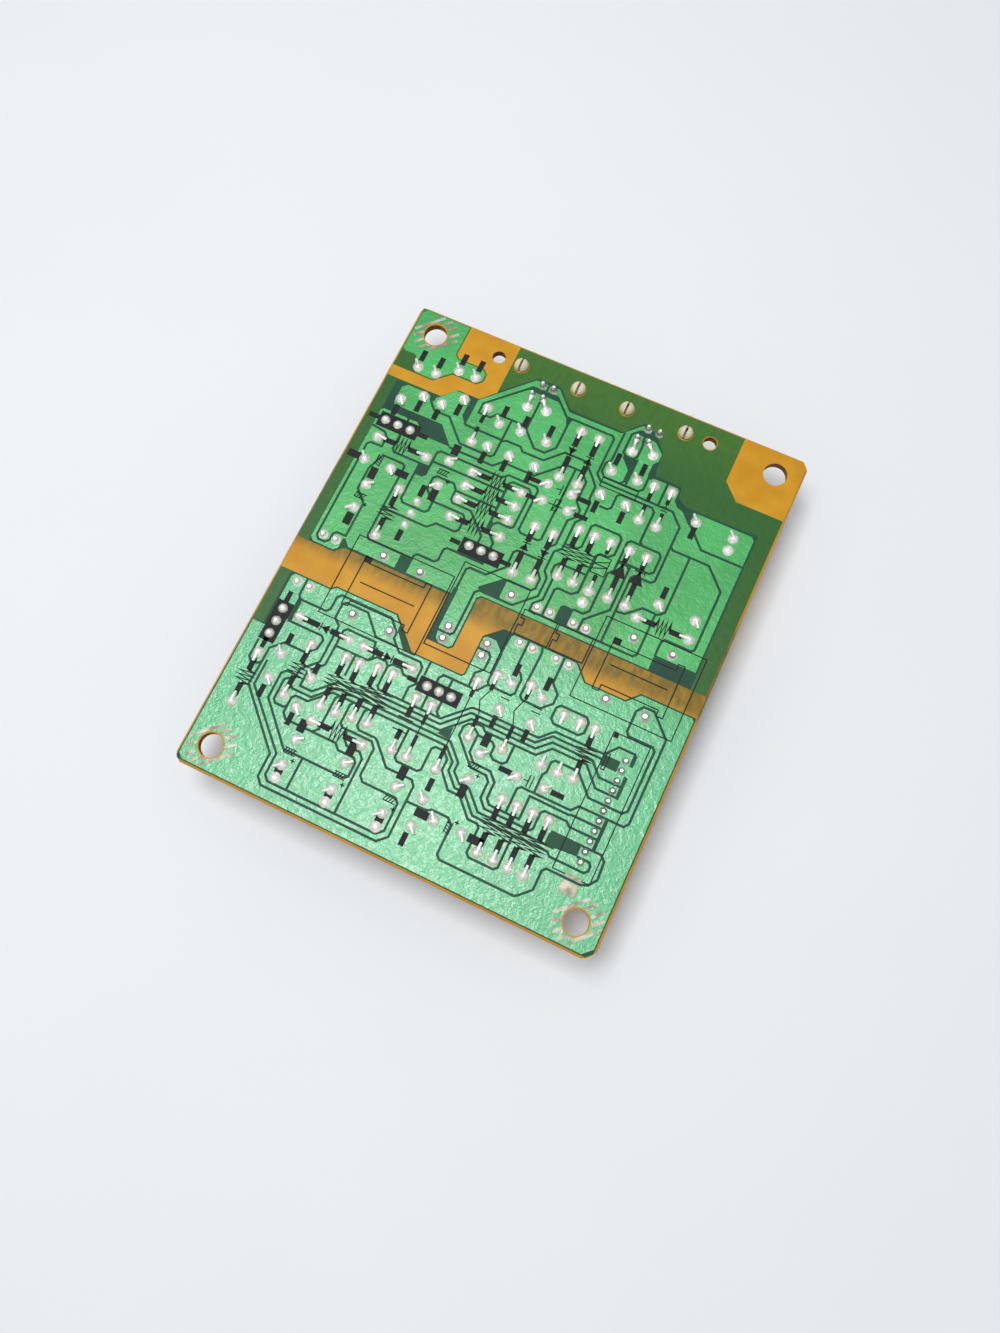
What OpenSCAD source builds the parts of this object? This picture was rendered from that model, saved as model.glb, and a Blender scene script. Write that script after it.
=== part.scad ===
// Telephone-line interface board of a fax machine.
// A single-sided laminate lies with its solder side up, and its parts hang below it.
// Board positions are millimetres from the board's lower left corner, seen from the solder side.

/* [Board] */
// Short side of the laminate
board_w = 84; // [83:0.5:86]
// Long side of the laminate
board_l = 103.2; // [103:0.1:105]
// Laminate thickness
board_t = 1.6; // [1.2:0.1:2]
// How far the snapped score web stands out of each edge
score_lip = 0.4; // [0.2:0.05:0.6]
// Diameter of the four mounting holes
mount_hole_d = 4.7; // [4:0.1:5]
// Diameter of the two locating holes at the jack edge
locating_hole_d = 2.7; // [2:0.1:3]
// Diameter of each drilled lead hole
lead_hole_d = 1.0; // [0.9:0.05:1.1]

/* [Foil and solder] */
// Copper foil thickness
copper_t = 0.035; // [0.02:0.005:0.07]
// Solder mask thickness
mask_t = 0.02; // [0.01:0.005:0.03]
// Width of the clearance between neighbouring lands
land_gap = 0.48; // [0.4:0.02:0.55]
// Width of the tinned stripes at the mounting corners
stripe_w = 0.62; // [0.5:0.02:0.7]

/* [Tall parts] */
// Height of everything the board stands on
stand_h = 12; // [11.5:0.1:13]
// Width of a modular jack
jack_w = 15.4; // [15:0.1:15.6]
// Depth of a modular jack
jack_d = 14.6; // [14:0.1:15]
// Distance between the two split pegs of a jack
peg_pitch = 12.6; // [12:0.1:12.8]
// Number of ways in the wire header
header_ways = 11; // [11:1:11]
// Pitch of the wire header
header_pitch = 2.0; // [2:0.01:2.05]

/* [Small parts] */
// Diameter of a resistor's end caps
resistor_d = 2.3; // [1.8:0.1:2.5]
// Diameter of a rectifier diode's body
diode_d = 2.6; // [2.2:0.1:2.8]
// Diameter of an axial lead
lead_d = 0.6; // [0.5:0.05:0.7]
// Diameter of a ferrite bead
bead_d = 3.4; // [3:0.1:3.6]

/* [Hidden] */
$fn = 48;
lead_r = lead_d / 2;
lead_out = 0.2;
lip_out = score_lip;
nub_out = 1.4;
x_mid = board_w / 2;
y_mid = (board_l + nub_out - lip_out) / 2;
mask_base = copper_t;

mount_holes = [[5, 98.55], [79, 98.55], [5, 4.8], [79, 4.8]];
locating_holes = [[19, 99.35], [65, 99.4]];
jack_1 = [30.3, 99.4];
jack_2 = [53.5, 99.4];
header_at = [75.4, 24.55];

// Two-lead parts, one row each: x and y of the first lead, then of the second.
resistors = [
    [4.6, 73.4, 15.3, 73.5], [13.6, 65.1, 13.7, 54.5], [25.1, 74.4, 35.7, 74.4],
    [25.1, 71.2, 35.7, 71.2], [25.0, 68.1, 35.7, 68.1], [25.2, 64.2, 35.8, 64.3],
    [49.2, 72.2, 49.2, 61.8], [52.4, 72.2, 52.4, 61.8], [66.2, 60.5, 76.8, 60.6],
    [4.4, 24.2, 4.4, 13.8], [12.9, 29.8, 12.7, 19.0], [20.0, 30.4, 19.9, 20.0],
    [22.9, 30.4, 23.1, 20.1], [26.4, 31.1, 26.3, 20.5], [29.5, 31.2, 29.4, 20.6],
    [19.8, 16.8, 30.4, 16.8], [67.9, 37.7, 68.1, 27.6], [58.0, 18.8, 58.0, 8.2],
    [61.0, 18.8, 61.1, 8.2], [64.1, 18.9, 64.1, 8.1], [67.2, 18.9, 67.2, 8.1]
];
rectifiers = [
    [41.0, 91.3, 41.0, 80.6], [44.9, 91.2, 44.9, 80.6], [41.1, 69.2, 41.1, 58.8],
    [45.0, 69.2, 45.0, 59.0], [59.7, 72.3, 59.7, 61.7], [63.3, 72.3, 63.3, 61.7]
];
glass_diode_rows = [
    [8.1, 33.7, 18.9, 33.6], [22.1, 33.6, 32.3, 33.6], [35.5, 29.0, 35.7, 18.3],
    [61.7, 37.6, 61.7, 27.5], [65.0, 37.7, 65.0, 27.4]
];
jumpers = [
    [38.8, 28.9, 38.8, 18.3], [44.5, 36.8, 44.6, 18.5],
    [47.4, 39.3, 47.5, 26.4], [53.9, 40.2, 54.1, 27.0]
];
long_beads = [[21.8, 88.2, 22.0, 80.2], [58.7, 86.6, 58.7, 78.8], [62.3, 86.7, 62.3, 78.8]];
short_beads = [
    [30.0, 86.2, 30.1, 80.6], [35.6, 86.2, 35.6, 80.6],
    [49.8, 86.0, 49.8, 80.7], [55.2, 86.1, 55.2, 80.6]
];
surge_tube = [55.8, 72.3, 55.9, 61.5];
// Discs: two leads, then diameter and thickness.
discs = [
    [5.0, 90.6, 5.0, 82.8, 9.0, 2.8], [9.0, 90.7, 8.9, 85.2, 6.6, 2.6],
    [13.0, 93.2, 13.0, 85.2, 9.0, 2.8], [16.7, 93.2, 16.6, 88.0, 6.4, 2.6],
    [25.4, 86.0, 25.3, 80.7, 6.4, 2.6], [15.9, 23.9, 16.0, 17.9, 6.4, 2.4],
    [50.3, 38.9, 50.3, 33.6, 6.2, 2.4], [56.6, 38.8, 56.8, 33.6, 6.2, 2.4]
];
varistor = [40.0, 74.7, 45.5, 74.7, 7.6, 3.6];
// Boxed film capacitors: two leads, then thickness and height.
small_boxes = [
    [39.6, 78.3, 44.8, 78.2, 2.6, 6.8], [8.5, 25.8, 8.5, 20.7, 2.6, 6.8],
    [58.5, 23.6, 64.0, 23.7, 2.8, 7.0], [45.0, 12.6, 45.2, 7.4, 2.4, 6.8]
];
line_boxes = [[69.0, 82.9, 69.0, 64.6, 5.8, 11.2], [76.7, 82.7, 76.5, 64.5, 5.8, 11.2]];
// Electrolytic capacitors: two leads, then can radius.
cans = [
    [4.4, 68.0, 10.0, 68.3, 3.85], [7.2, 63.2, 7.2, 58.0, 3.15], [19.9, 74.6, 20.1, 69.0, 3.6],
    [50.7, 24.5, 50.9, 19.4, 3.15], [18.8, 12.4, 18.7, 7.2, 4.0], [29.1, 12.4, 29.1, 7.1, 4.0],
    [39.5, 12.5, 39.5, 7.3, 3.9], [48.5, 10.0, 54.0, 10.1, 4.0]
];
// Three-lead transistors: the middle lead, the heading of the row and the lead pitch.
transistors = [
    [4.5, 31.1, 90, 2.7], [18.0, 61.5, 90, 2.7], [33.8, 60.2, 0, 2.6],
    [7.1, 77.3, 0, 2.75], [38.8, 31.8, 0, 2.5]
];
// Optocouplers: centre, pin pitch, distance between the rows.
optos = [[5.85, 45.05, 2.7, 10.7], [49.75, 50.5, 2.65, 7.7], [57.2, 50.5, 2.65, 7.7]];
relay_pin_at = [[43.0, 54.4], [34.9, 43.8], [34.9, 41.3], [43.0, 43.8], [43.0, 41.3]];
relay_at = [39.0, 47.8];
t1_at = [21.25, 44.75];
t2_at = [71.3, 50.0];
wound_pins = [7.85, 12.95];
spare_pads = [
    [28.9, 91.7], [32.8, 92.3], [51.8, 91.5], [55.9, 92.4], [18.7, 4.6], [29.1, 4.5],
    [39.5, 4.5], [76.7, 80.1], [55.8, 58.9]
];
jack_pin_at = [
    [29.85, 97.1], [32.2, 97.1], [28.7, 94.4], [31.1, 94.4],
    [52.8, 97.1], [55.2, 97.1], [51.6, 94.3], [54.0, 94.3]
];

function lead_pairs(rows) = [for (r = rows) each [[r[0], r[1]], [r[2], r[3]]]];
function heading(a, b) = atan2(b[1] - a[1], b[0] - a[0]);
function along(deg) = [cos(deg), sin(deg)];
// Each joint: x, y, heading of the clinched lead end.
function inward(rows) = [
    for (r = rows)
        let (h = heading([r[0], r[1]], [r[2], r[3]]))
            each [[r[0], r[1], h], [r[2], r[3], h + 180]]
];
function outward(rows, turn) = [
    for (r = rows)
        let (h = heading([r[0], r[1]], [r[2], r[3]]))
            each [[r[0], r[1], h + 180 + turn], [r[2], r[3], h + turn]]
];
function row_of_three(t) = [for (i = [-1:1]) [t[0], t[1]] + along(t[2]) * t[3] * i];
function box_of_four(c, px, py) =
    [for (sx = [-1, 1]) for (sy = [-1, 1]) [c[0] + sx * px / 2, c[1] + sy * py / 2]];

header_pin_at = [
    for (i = [0:header_ways - 1])
        [header_at[0], header_at[1] + header_pitch * (i - (header_ways - 1) / 2)]
];
transistor_pin_at = [for (t = transistors) each row_of_three(t)];
opto_pin_at = [for (o = optos) each box_of_four([o[0], o[1]], o[2], o[3])];
wound_pin_at = [for (c = [t1_at, t2_at]) each box_of_four(c, wound_pins[0], wound_pins[1])];
axial_rows = concat(resistors, rectifiers, glass_diode_rows, jumpers, [surge_tube]);
bead_rows = concat(long_beads, short_beads);
radial_rows = concat(discs, [varistor], small_boxes, line_boxes, cans);
two_lead_holes = concat(lead_pairs(axial_rows), lead_pairs(bead_rows), lead_pairs(radial_rows));
lead_holes = concat(
    two_lead_holes, transistor_pin_at, opto_pin_at, relay_pin_at, wound_pin_at, header_pin_at,
    jack_pin_at
);

// Outlines of the foil, before the clearances are cut.
corner_pour = [
    [0.25, 102.2], [1.1, 103.0], [10.7, 103.0], [10.7, 96.3], [11.6, 95.45], [17.3, 95.4],
    [18.2, 94.6], [18.2, 93.1], [17.3, 92.2], [12.0, 92.2], [8.9, 89.3], [5.0, 89.3],
    [3.95, 90.3], [3.95, 92.2], [3.2, 92.9], [0.8, 92.9], [0.25, 93.4]
];
upper_pour = [
    [2.45, 49.1], [2.45, 79.0], [2.9, 79.45], [8.1, 79.45], [8.5, 79.1], [8.9, 79.45],
    [10.4, 79.45], [11.0, 78.9], [11.0, 77.8], [11.6, 77.3], [18.7, 77.3], [15.1, 81.1],
    [4.5, 81.1], [4.05, 81.6], [4.05, 85.2], [4.95, 86.1], [9.6, 86.1], [10.3, 85.6],
    [11.4, 85.8], [14.6, 89.0], [17.1, 89.0], [17.9, 88.3], [17.9, 84.5], [19.0, 83.2],
    [19.35, 83.2], [19.35, 88.9], [28.2, 97.8], [33.3, 97.8], [37.0, 94.1], [48.3, 94.1],
    [49.1, 94.8], [51.6, 97.4], [53.6, 97.4], [53.6, 95.3], [55.3, 95.1], [57.4, 93.2],
    [57.4, 91.6], [56.6, 90.6], [56.6, 88.0], [57.4, 87.3], [58.0, 87.9], [63.0, 87.9],
    [63.5, 87.3], [63.5, 85.2], [64.5, 84.1], [65.6, 83.9], [68.0, 81.5], [67.9, 83.9],
    [68.5, 84.55], [79.8, 84.55], [80.4, 83.9], [80.4, 55.2], [72.2, 55.2], [72.2, 52.1],
    [37.9, 52.0], [37.1, 51.3], [37.1, 40.8], [36.5, 40.25], [34.4, 40.25], [33.6, 41.0],
    [33.2, 42.8], [33.2, 50.1], [10.1, 50.1], [8.8, 51.4], [8.35, 51.2], [8.35, 49.1],
    [7.6, 48.4], [3.2, 48.4]
];
lower_pour = [
    [0.3, 1.2], [0.3, 29.5], [2.9, 29.5], [2.9, 40.4], [3.4, 40.95], [11.0, 40.95],
    [12.0, 41.75], [24.8, 41.75], [26.4, 40.2], [26.4, 39.2], [29.0, 36.2], [41.2, 36.2],
    [41.8, 36.8], [41.8, 44.7], [42.3, 45.2], [44.2, 45.2], [46.3, 43.2], [46.5, 47.1],
    [46.9, 47.6], [59.7, 47.6], [62.5, 44.7], [70.9, 44.7], [73.1, 47.0], [83.2, 47.0],
    [83.7, 46.5], [83.7, 1.9], [82.0, 0.3], [1.3, 0.3]
];
clearings = [
    [[10.3, 86.4], [11.4, 86.4], [11.4, 84.9], [10.3, 84.9]],
    [[27.4, 95.2], [28.3, 96.2], [33.7, 96.2], [34.5, 95.2]],
    [[51.2, 95.3], [52.1, 96.3], [54.0, 96.5], [54.0, 95.3]],
    [[36.9, 92.9], [38.6, 92.8], [38.2, 92.3], [38.1, 91.0], [37.7, 91.0]],
    [[50.6, 90.2], [53.4, 90.2], [53.4, 84.7], [53.0, 84.7], [52.9, 87.5]],
    [[14.9, 71.8], [17.1, 71.8], [17.1, 69.9], [16.5, 69.3], [14.9, 69.2]],
    [[32.4, 74.0], [33.0, 74.0], [33.1, 66.7], [33.6, 66.2], [33.4, 64.7], [32.6, 64.7]],
    [[36.5, 53.0], [36.5, 53.5], [40.1, 56.8], [41.0, 56.8], [41.0, 53.3], [41.5, 52.9]],
    [[52.3, 53.3], [52.3, 56.4], [52.9, 57.0], [54.9, 56.9], [54.9, 53.3]],
    [[20.1, 53.4], [22.5, 53.4], [22.5, 49.9], [20.1, 49.9]],
    [[33.2, 49.9], [32.3, 49.9], [32.3, 51.5], [33.2, 51.5]],
    [[6.2, 37.2], [6.9, 36.8], [7.2, 36.2], [7.2, 32.2], [6.2, 32.2]],
    [[41.8, 24.6], [44.2, 26.9], [44.4, 24.5]],
    [[71.3, 34.1], [74.6, 34.1], [74.6, 32.0], [71.3, 32.0]],
    [[68.2, 15.0], [68.2, 16.9], [68.7, 17.3], [74.4, 17.3], [74.4, 15.2], [70.0, 14.8]],
    [[76.3, 23.4], [77.0, 23.4], [77.0, 17.3], [76.3, 17.3]],
    [[76.3, 31.9], [77.0, 31.9], [77.0, 27.7], [76.3, 27.7]],
    [[76.3, 36.4], [77.0, 35.8], [77.0, 33.9], [76.3, 33.9]]
];
upper_gaps = [
    [[10.8, 86.2], [10.8, 84.8], [12.3, 83.2], [15.7, 83.2], [20.1, 78.8], [26.8, 78.8],
        [27.4, 79.4], [27.4, 87.7]],
    [[19.0, 83.2], [19.5, 82.95], [27.4, 82.95]],
    [[30.6, 87.7], [24.2, 87.7], [23.2, 86.45], [20.6, 86.45], [20.6, 88.7], [28.2, 96.1],
        [33.6, 96.1], [37.0, 92.9], [47.0, 92.9], [47.5, 92.3], [47.5, 84.3], [48.7, 83.1],
        [64.0, 83.0], [66.5, 80.5], [66.5, 68.5], [65.9, 67.9], [62.6, 67.9], [62.1, 67.3],
        [62.1, 53.3]],
    [[66.5, 76.3], [67.1, 75.7], [74.6, 75.7], [78.6, 71.7], [78.6, 59.2], [78.1, 58.65],
        [72.8, 58.65], [72.3, 58.0], [72.3, 55.0]],
    [[70.7, 75.7], [70.7, 63.6], [70.1, 62.9], [69.2, 62.4], [69.2, 53.9], [68.6, 53.2],
        [47.3, 53.2]],
    [[69.2, 62.6], [66.5, 62.6], [64.0, 60.2], [62.1, 59.9]],
    [[61.4, 74.1], [59.2, 74.1], [58.6, 73.5], [58.6, 67.2], [57.7, 66.2], [57.7, 57.9],
        [56.8, 56.9], [54.7, 56.9]],
    [[61.1, 69.4], [61.1, 59.7], [57.3, 55.9], [57.2, 53.2]],
    [[50.6, 78.2], [52.3, 78.2], [52.9, 78.8], [52.9, 81.6], [53.5, 82.1], [60.1, 82.1],
        [60.8, 81.4], [60.8, 74.7], [61.4, 74.1], [65.0, 74.1], [65.6, 73.4], [65.6, 70.0],
        [64.9, 69.4], [58.6, 69.4]],
    [[53.4, 96.2], [51.7, 96.2], [50.3, 94.9], [50.3, 90.6], [51.0, 90.0], [52.6, 90.0]],
    [[52.5, 89.9], [53.2, 90.7], [53.2, 93.6], [52.9, 94.3], [52.9, 96.0]],
    [[53.5, 90.3], [53.5, 84.2]],
    [[48.9, 94.6], [48.9, 88.0], [48.1, 87.1], [48.1, 85.1], [49.0, 84.15], [52.3, 84.15],
        [52.9, 84.9], [52.9, 87.5], [50.7, 89.8]],
    [[52.7, 84.15], [56.3, 84.15], [57.0, 84.9], [57.0, 88.2]],
    [[60.9, 88.2], [60.9, 83.1]],
    [[31.0, 98.1], [31.0, 95.9]],
    [[67.5, 82.6], [72.0, 78.0], [80.8, 78.0]],
    [[30.8, 95.5], [30.8, 87.1], [33.9, 84.0], [36.2, 84.0], [37.9, 85.9], [37.9, 91.4]],
    [[27.4, 82.6], [28.3, 83.2], [31.4, 83.2], [32.2, 82.4], [36.7, 82.4], [39.9, 85.7],
        [44.4, 85.7], [46.9, 83.2], [48.3, 81.6], [48.3, 78.8], [48.8, 78.0], [48.8, 74.3],
        [47.8, 73.2], [47.8, 67.1], [46.6, 65.9], [46.6, 61.7], [47.6, 60.4], [47.6, 56.5],
        [43.9, 52.8], [37.0, 52.8], [36.3, 52.1], [36.3, 43.3], [35.8, 42.6], [33.0, 42.6]],
    [[18.5, 77.2], [28.1, 77.2], [29.6, 78.7], [36.5, 78.7], [40.4, 82.6], [41.2, 83.4],
        [44.6, 83.4], [46.3, 81.7], [46.3, 77.2], [47.6, 75.8], [47.6, 74.2], [46.3, 72.9],
        [46.3, 67.4], [45.1, 66.2], [45.1, 63.2], [40.2, 63.2], [39.6, 62.6], [39.6, 59.2],
        [36.7, 56.2], [33.4, 56.2], [32.8, 55.6], [32.8, 49.7]],
    [[8.5, 79.8], [8.5, 72.3], [9.1, 71.7], [16.9, 71.7], [16.9, 75.1], [17.5, 75.7],
        [30.9, 75.7], [31.9, 76.7], [37.9, 76.7], [38.5, 76.1], [38.5, 67.3], [39.1, 66.7],
        [42.8, 66.7], [43.3, 67.2], [43.3, 83.4]],
    [[32.7, 73.2], [32.7, 75.1], [33.3, 75.7], [36.8, 75.7], [37.4, 75.1], [37.4, 67.3],
        [36.9, 66.8], [34.2, 66.8], [33.4, 66.0]],
    [[14.8, 71.5], [14.8, 63.5], [15.5, 62.8], [20.2, 62.8], [20.8, 63.4], [20.8, 65.1],
        [18.6, 67.4], [18.6, 70.0], [19.2, 70.6], [22.9, 70.6], [23.8, 69.5], [23.8, 67.4],
        [24.4, 66.8], [28.4, 66.8], [30.2, 65.1], [31.8, 63.7], [32.5, 62.8], [32.5, 58.0]],
    [[23.8, 69.4], [32.7, 69.4]],
    [[16.9, 73.1], [32.7, 73.1]],
    [[12.6, 60.2], [22.0, 60.2], [23.4, 61.6], [27.4, 61.6], [28.0, 62.2], [28.0, 64.8],
        [27.4, 65.5], [20.8, 65.5]],
    [[22.4, 49.9], [22.4, 53.7], [23.0, 54.4], [26.5, 54.4], [27.1, 55.0], [27.1, 57.4],
        [27.6, 57.95], [35.2, 57.95], [35.2, 62.6], [33.4, 64.4], [33.4, 66.0]],
    [[2.2, 75.3], [5.4, 74.9], [6.3, 74.0], [6.3, 71.8], [3.9, 71.7], [3.3, 71.1],
        [3.3, 49.9], [4.0, 49.15], [5.4, 49.15], [6.1, 49.8], [6.1, 51.3], [6.7, 51.9],
        [8.6, 51.9], [8.6, 59.4], [6.1, 61.8], [6.1, 66.6], [7.4, 70.2], [11.9, 70.2],
        [12.4, 69.7], [12.4, 53.8], [13.0, 53.2], [20.3, 53.2]],
    [[48.7, 53.0], [47.3, 53.2], [47.3, 54.8], [48.7, 56.2], [48.7, 60.8], [47.9, 62.0],
        [47.9, 63.4], [48.6, 64.2], [54.1, 64.2]],
    [[47.8, 68.3], [50.3, 68.3], [51.0, 69.1], [51.0, 73.7], [51.6, 74.3], [56.7, 74.3],
        [57.4, 73.6], [57.4, 70.2], [56.4, 69.2], [54.9, 69.2], [54.2, 68.4], [54.2, 60.4],
        [53.1, 59.5], [50.4, 59.5], [49.9, 59.0], [49.9, 53.2]],
    [[40.9, 56.95], [45.8, 56.95], [46.5, 57.6], [46.5, 59.8], [45.1, 61.4], [45.1, 63.2]]
];
lower_gaps = [
    [[6.1, 41.2], [6.1, 37.5], [6.7, 36.8], [12.3, 36.8], [12.9, 37.5], [12.9, 40.1],
        [13.6, 40.85], [24.3, 40.85], [26.5, 38.6], [26.5, 37.4], [28.6, 35.4], [33.1, 35.4],
        [33.9, 34.6], [33.9, 31.4]],
    [[15.9, 35.2], [14.5, 36.3], [14.5, 39.3], [15.1, 39.9], [19.7, 39.9], [23.3, 36.2],
        [27.6, 36.2]],
    [[3.2, 26.6], [3.2, 22.8], [3.8, 22.2], [5.2, 22.2], [5.9, 22.9], [5.9, 25.8],
        [8.0, 27.9], [12.6, 27.9], [14.2, 29.4], [14.5, 31.4], [13.9, 32.1], [6.4, 32.1]],
    [[5.9, 22.9], [5.7, 18.0], [15.7, 8.1], [15.7, 3.5], [16.9, 2.25], [40.7, 2.25],
        [42.4, 3.9], [42.4, 14.0], [41.6, 14.9], [36.3, 14.9], [32.6, 18.6], [32.0, 18.95],
        [28.6, 18.95], [27.9, 19.6], [27.9, 22.6], [28.4, 23.2]],
    [[6.7, 23.6], [6.7, 18.4], [16.8, 8.6], [16.8, 4.3], [17.7, 3.4], [40.0, 3.4],
        [41.2, 4.5], [41.2, 9.9], [40.4, 10.7], [33.6, 10.7], [32.7, 11.6], [32.7, 17.0],
        [31.7, 18.1], [25.6, 18.1], [24.9, 18.7], [24.9, 22.5], [25.3, 23.1]],
    [[12.9, 23.3], [11.1, 23.3], [10.3, 22.5], [10.3, 17.3], [17.6, 9.9], [30.2, 9.9],
        [30.8, 10.5], [30.8, 13.2], [30.1, 14.0], [26.8, 14.0], [25.8, 15.0], [15.2, 15.0],
        [14.3, 16.0], [14.3, 19.1], [14.9, 19.75], [17.4, 19.75], [20.9, 23.2], [44.6, 23.2],
        [46.9, 21.0], [46.9, 19.3], [49.3, 16.9], [51.3, 16.9], [54.4, 13.75], [69.3, 13.75],
        [70.0, 13.1], [76.7, 13.1], [77.3, 13.7], [77.3, 14.7], [76.8, 15.2], [74.4, 15.2]],
    [[14.3, 17.4], [13.8, 16.9], [12.0, 16.9], [11.4, 17.5], [11.4, 21.6], [12.0, 22.2],
        [12.9, 22.2]],
    [[21.6, 9.9], [21.6, 3.4]],
    [[31.6, 3.4], [31.6, 14.4], [30.6, 15.4], [27.9, 15.4], [26.9, 16.4], [26.6, 18.1]],
    [[22.4, 23.2], [21.8, 22.5], [21.8, 16.0], [20.8, 15.0]],
    [[24.0, 34.0], [23.7, 35.3], [17.7, 35.3], [17.1, 34.7], [17.1, 27.4], [14.7, 25.0],
        [14.7, 21.75], [17.2, 21.75], [20.8, 25.3], [42.2, 25.3], [46.6, 29.7], [59.5, 29.7],
        [61.9, 32.05], [70.0, 32.05], [72.2, 29.8], [77.0, 29.8]],
    [[15.9, 35.2], [15.9, 27.4], [13.2, 24.7], [12.9, 21.4], [13.6, 20.7], [17.6, 20.7],
        [21.1, 24.25], [44.9, 24.25], [47.9, 21.3], [47.9, 19.6], [49.8, 17.9], [51.8, 17.9],
        [55.0, 14.75], [70.2, 14.75]],
    [[24.5, 34.5], [24.5, 32.3], [23.8, 31.5], [17.1, 31.5]],
    [[24.0, 31.5], [25.3, 32.8], [27.2, 32.8], [27.9, 32.1], [27.9, 27.9], [28.4, 27.35],
        [41.3, 27.35], [45.5, 31.5], [46.0, 31.75], [59.2, 31.75], [61.0, 33.6],
        [61.7, 34.1], [71.3, 34.1], [72.6, 35.6], [73.3, 36.4], [76.4, 36.4], [76.8, 36.0],
        [76.8, 33.9]],
    [[21.4, 31.5], [21.4, 27.0]],
    [[25.0, 26.35], [41.7, 26.35], [46.0, 30.7], [59.0, 30.7], [61.5, 33.1], [71.4, 33.1]],
    [[27.9, 32.1], [28.6, 32.8], [30.4, 32.8], [31.3, 31.9], [34.6, 31.6], [33.3, 30.2],
        [33.3, 27.4]],
    [[37.2, 30.4], [37.2, 27.35]],
    [[40.1, 30.4], [40.1, 28.2], [41.0, 27.35]],
    [[37.6, 33.2], [37.6, 34.2], [38.3, 35.0]],
    [[40.1, 33.2], [40.1, 35.0]],
    [[34.9, 36.4], [34.9, 33.4]],
    [[49.9, 47.9], [49.9, 41.9], [51.0, 41.4], [51.7, 40.4], [51.7, 37.4], [51.1, 36.8],
        [46.4, 36.8], [45.1, 35.0], [37.9, 35.0]],
    [[46.2, 43.4], [46.2, 37.4], [46.6, 36.8]],
    [[52.6, 47.9], [53.0, 46.6], [52.8, 37.5], [53.4, 36.9], [57.2, 36.9], [59.0, 38.7],
        [59.0, 40.6], [57.3, 42.3], [57.3, 47.9]],
    [[41.6, 42.55], [43.9, 42.55], [44.6, 41.8], [44.6, 39.2], [43.3, 37.9], [43.3, 35.0]],
    [[60.6, 39.1], [59.8, 38.3], [59.8, 36.0], [60.6, 35.3], [65.7, 35.3]],
    [[65.5, 35.2], [66.4, 36.1], [66.4, 38.2], [65.7, 39.0], [60.4, 39.0]],
    [[47.9, 29.3], [49.1, 29.3], [49.8, 28.65], [60.1, 28.65], [62.4, 31.0], [69.2, 31.0],
        [72.4, 27.7], [77.0, 27.7]],
    [[59.6, 17.0], [59.6, 21.6], [60.2, 22.2], [70.0, 22.2], [71.1, 23.5], [79.8, 23.5],
        [80.5, 24.4], [80.5, 41.2], [76.4, 45.3]],
    [[76.6, 45.2], [74.4, 45.2], [73.4, 43.9], [73.4, 39.7], [74.0, 39.0], [78.8, 39.0], [79.4, 38.4], [79.4, 26.4], [78.6, 25.6], [72.0, 25.6],
        [68.4, 29.2], [63.8, 29.2], [63.2, 28.6], [63.2, 26.6], [62.7, 25.9], [62.7, 22.2]],
    [[48.1, 29.3], [46.4, 28.6], [45.8, 27.8], [45.8, 26.0], [50.3, 21.5], [53.5, 21.4],
        [54.35, 20.5], [54.35, 17.3], [55.8, 15.8], [64.8, 15.8], [65.3, 16.3], [65.3, 19.5],
        [65.9, 20.1], [70.2, 20.1], [71.0, 19.4], [77.0, 19.4]],
    [[47.8, 28.4], [48.9, 27.6], [48.9, 24.0], [50.4, 22.5], [53.9, 22.4], [55.45, 20.9],
        [55.45, 17.7], [56.3, 16.8], [62.3, 16.8], [62.3, 21.4], [70.0, 21.3], [70.6, 21.5],
        [77.0, 21.5]],
    [[49.1, 27.45], [51.9, 27.45], [52.55, 26.8], [52.55, 25.2], [53.4, 24.55], [55.2, 24.55],
        [55.85, 25.2], [55.85, 28.65]],
    [[36.9, 23.2], [36.9, 17.3], [37.5, 16.75], [41.7, 16.75], [42.3, 17.3], [42.3, 21.6],
        [42.9, 22.2], [44.6, 22.2], [45.8, 21.0], [45.8, 18.8], [48.4, 16.0], [50.8, 16.0],
        [53.9, 12.85], [55.8, 12.85], [56.35, 12.3], [56.35, 7.4], [57.0, 6.8], [61.9, 6.8],
        [62.5, 7.4], [62.5, 13.7]],
    [[68.4, 17.3], [78.2, 17.3], [79.2, 16.4], [79.4, 13.0], [78.3, 11.5], [77.0, 10.95],
        [70.4, 10.95], [69.8, 10.3], [69.8, 6.6], [67.8, 4.6], [67.2, 4.2], [52.4, 4.2],
        [51.7, 4.9], [51.7, 10.6], [50.6, 11.6], [47.3, 11.6], [46.6, 11.1], [42.4, 11.0]],
    [[-0.2, 29.75], [3.2, 29.75]]
];
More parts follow.
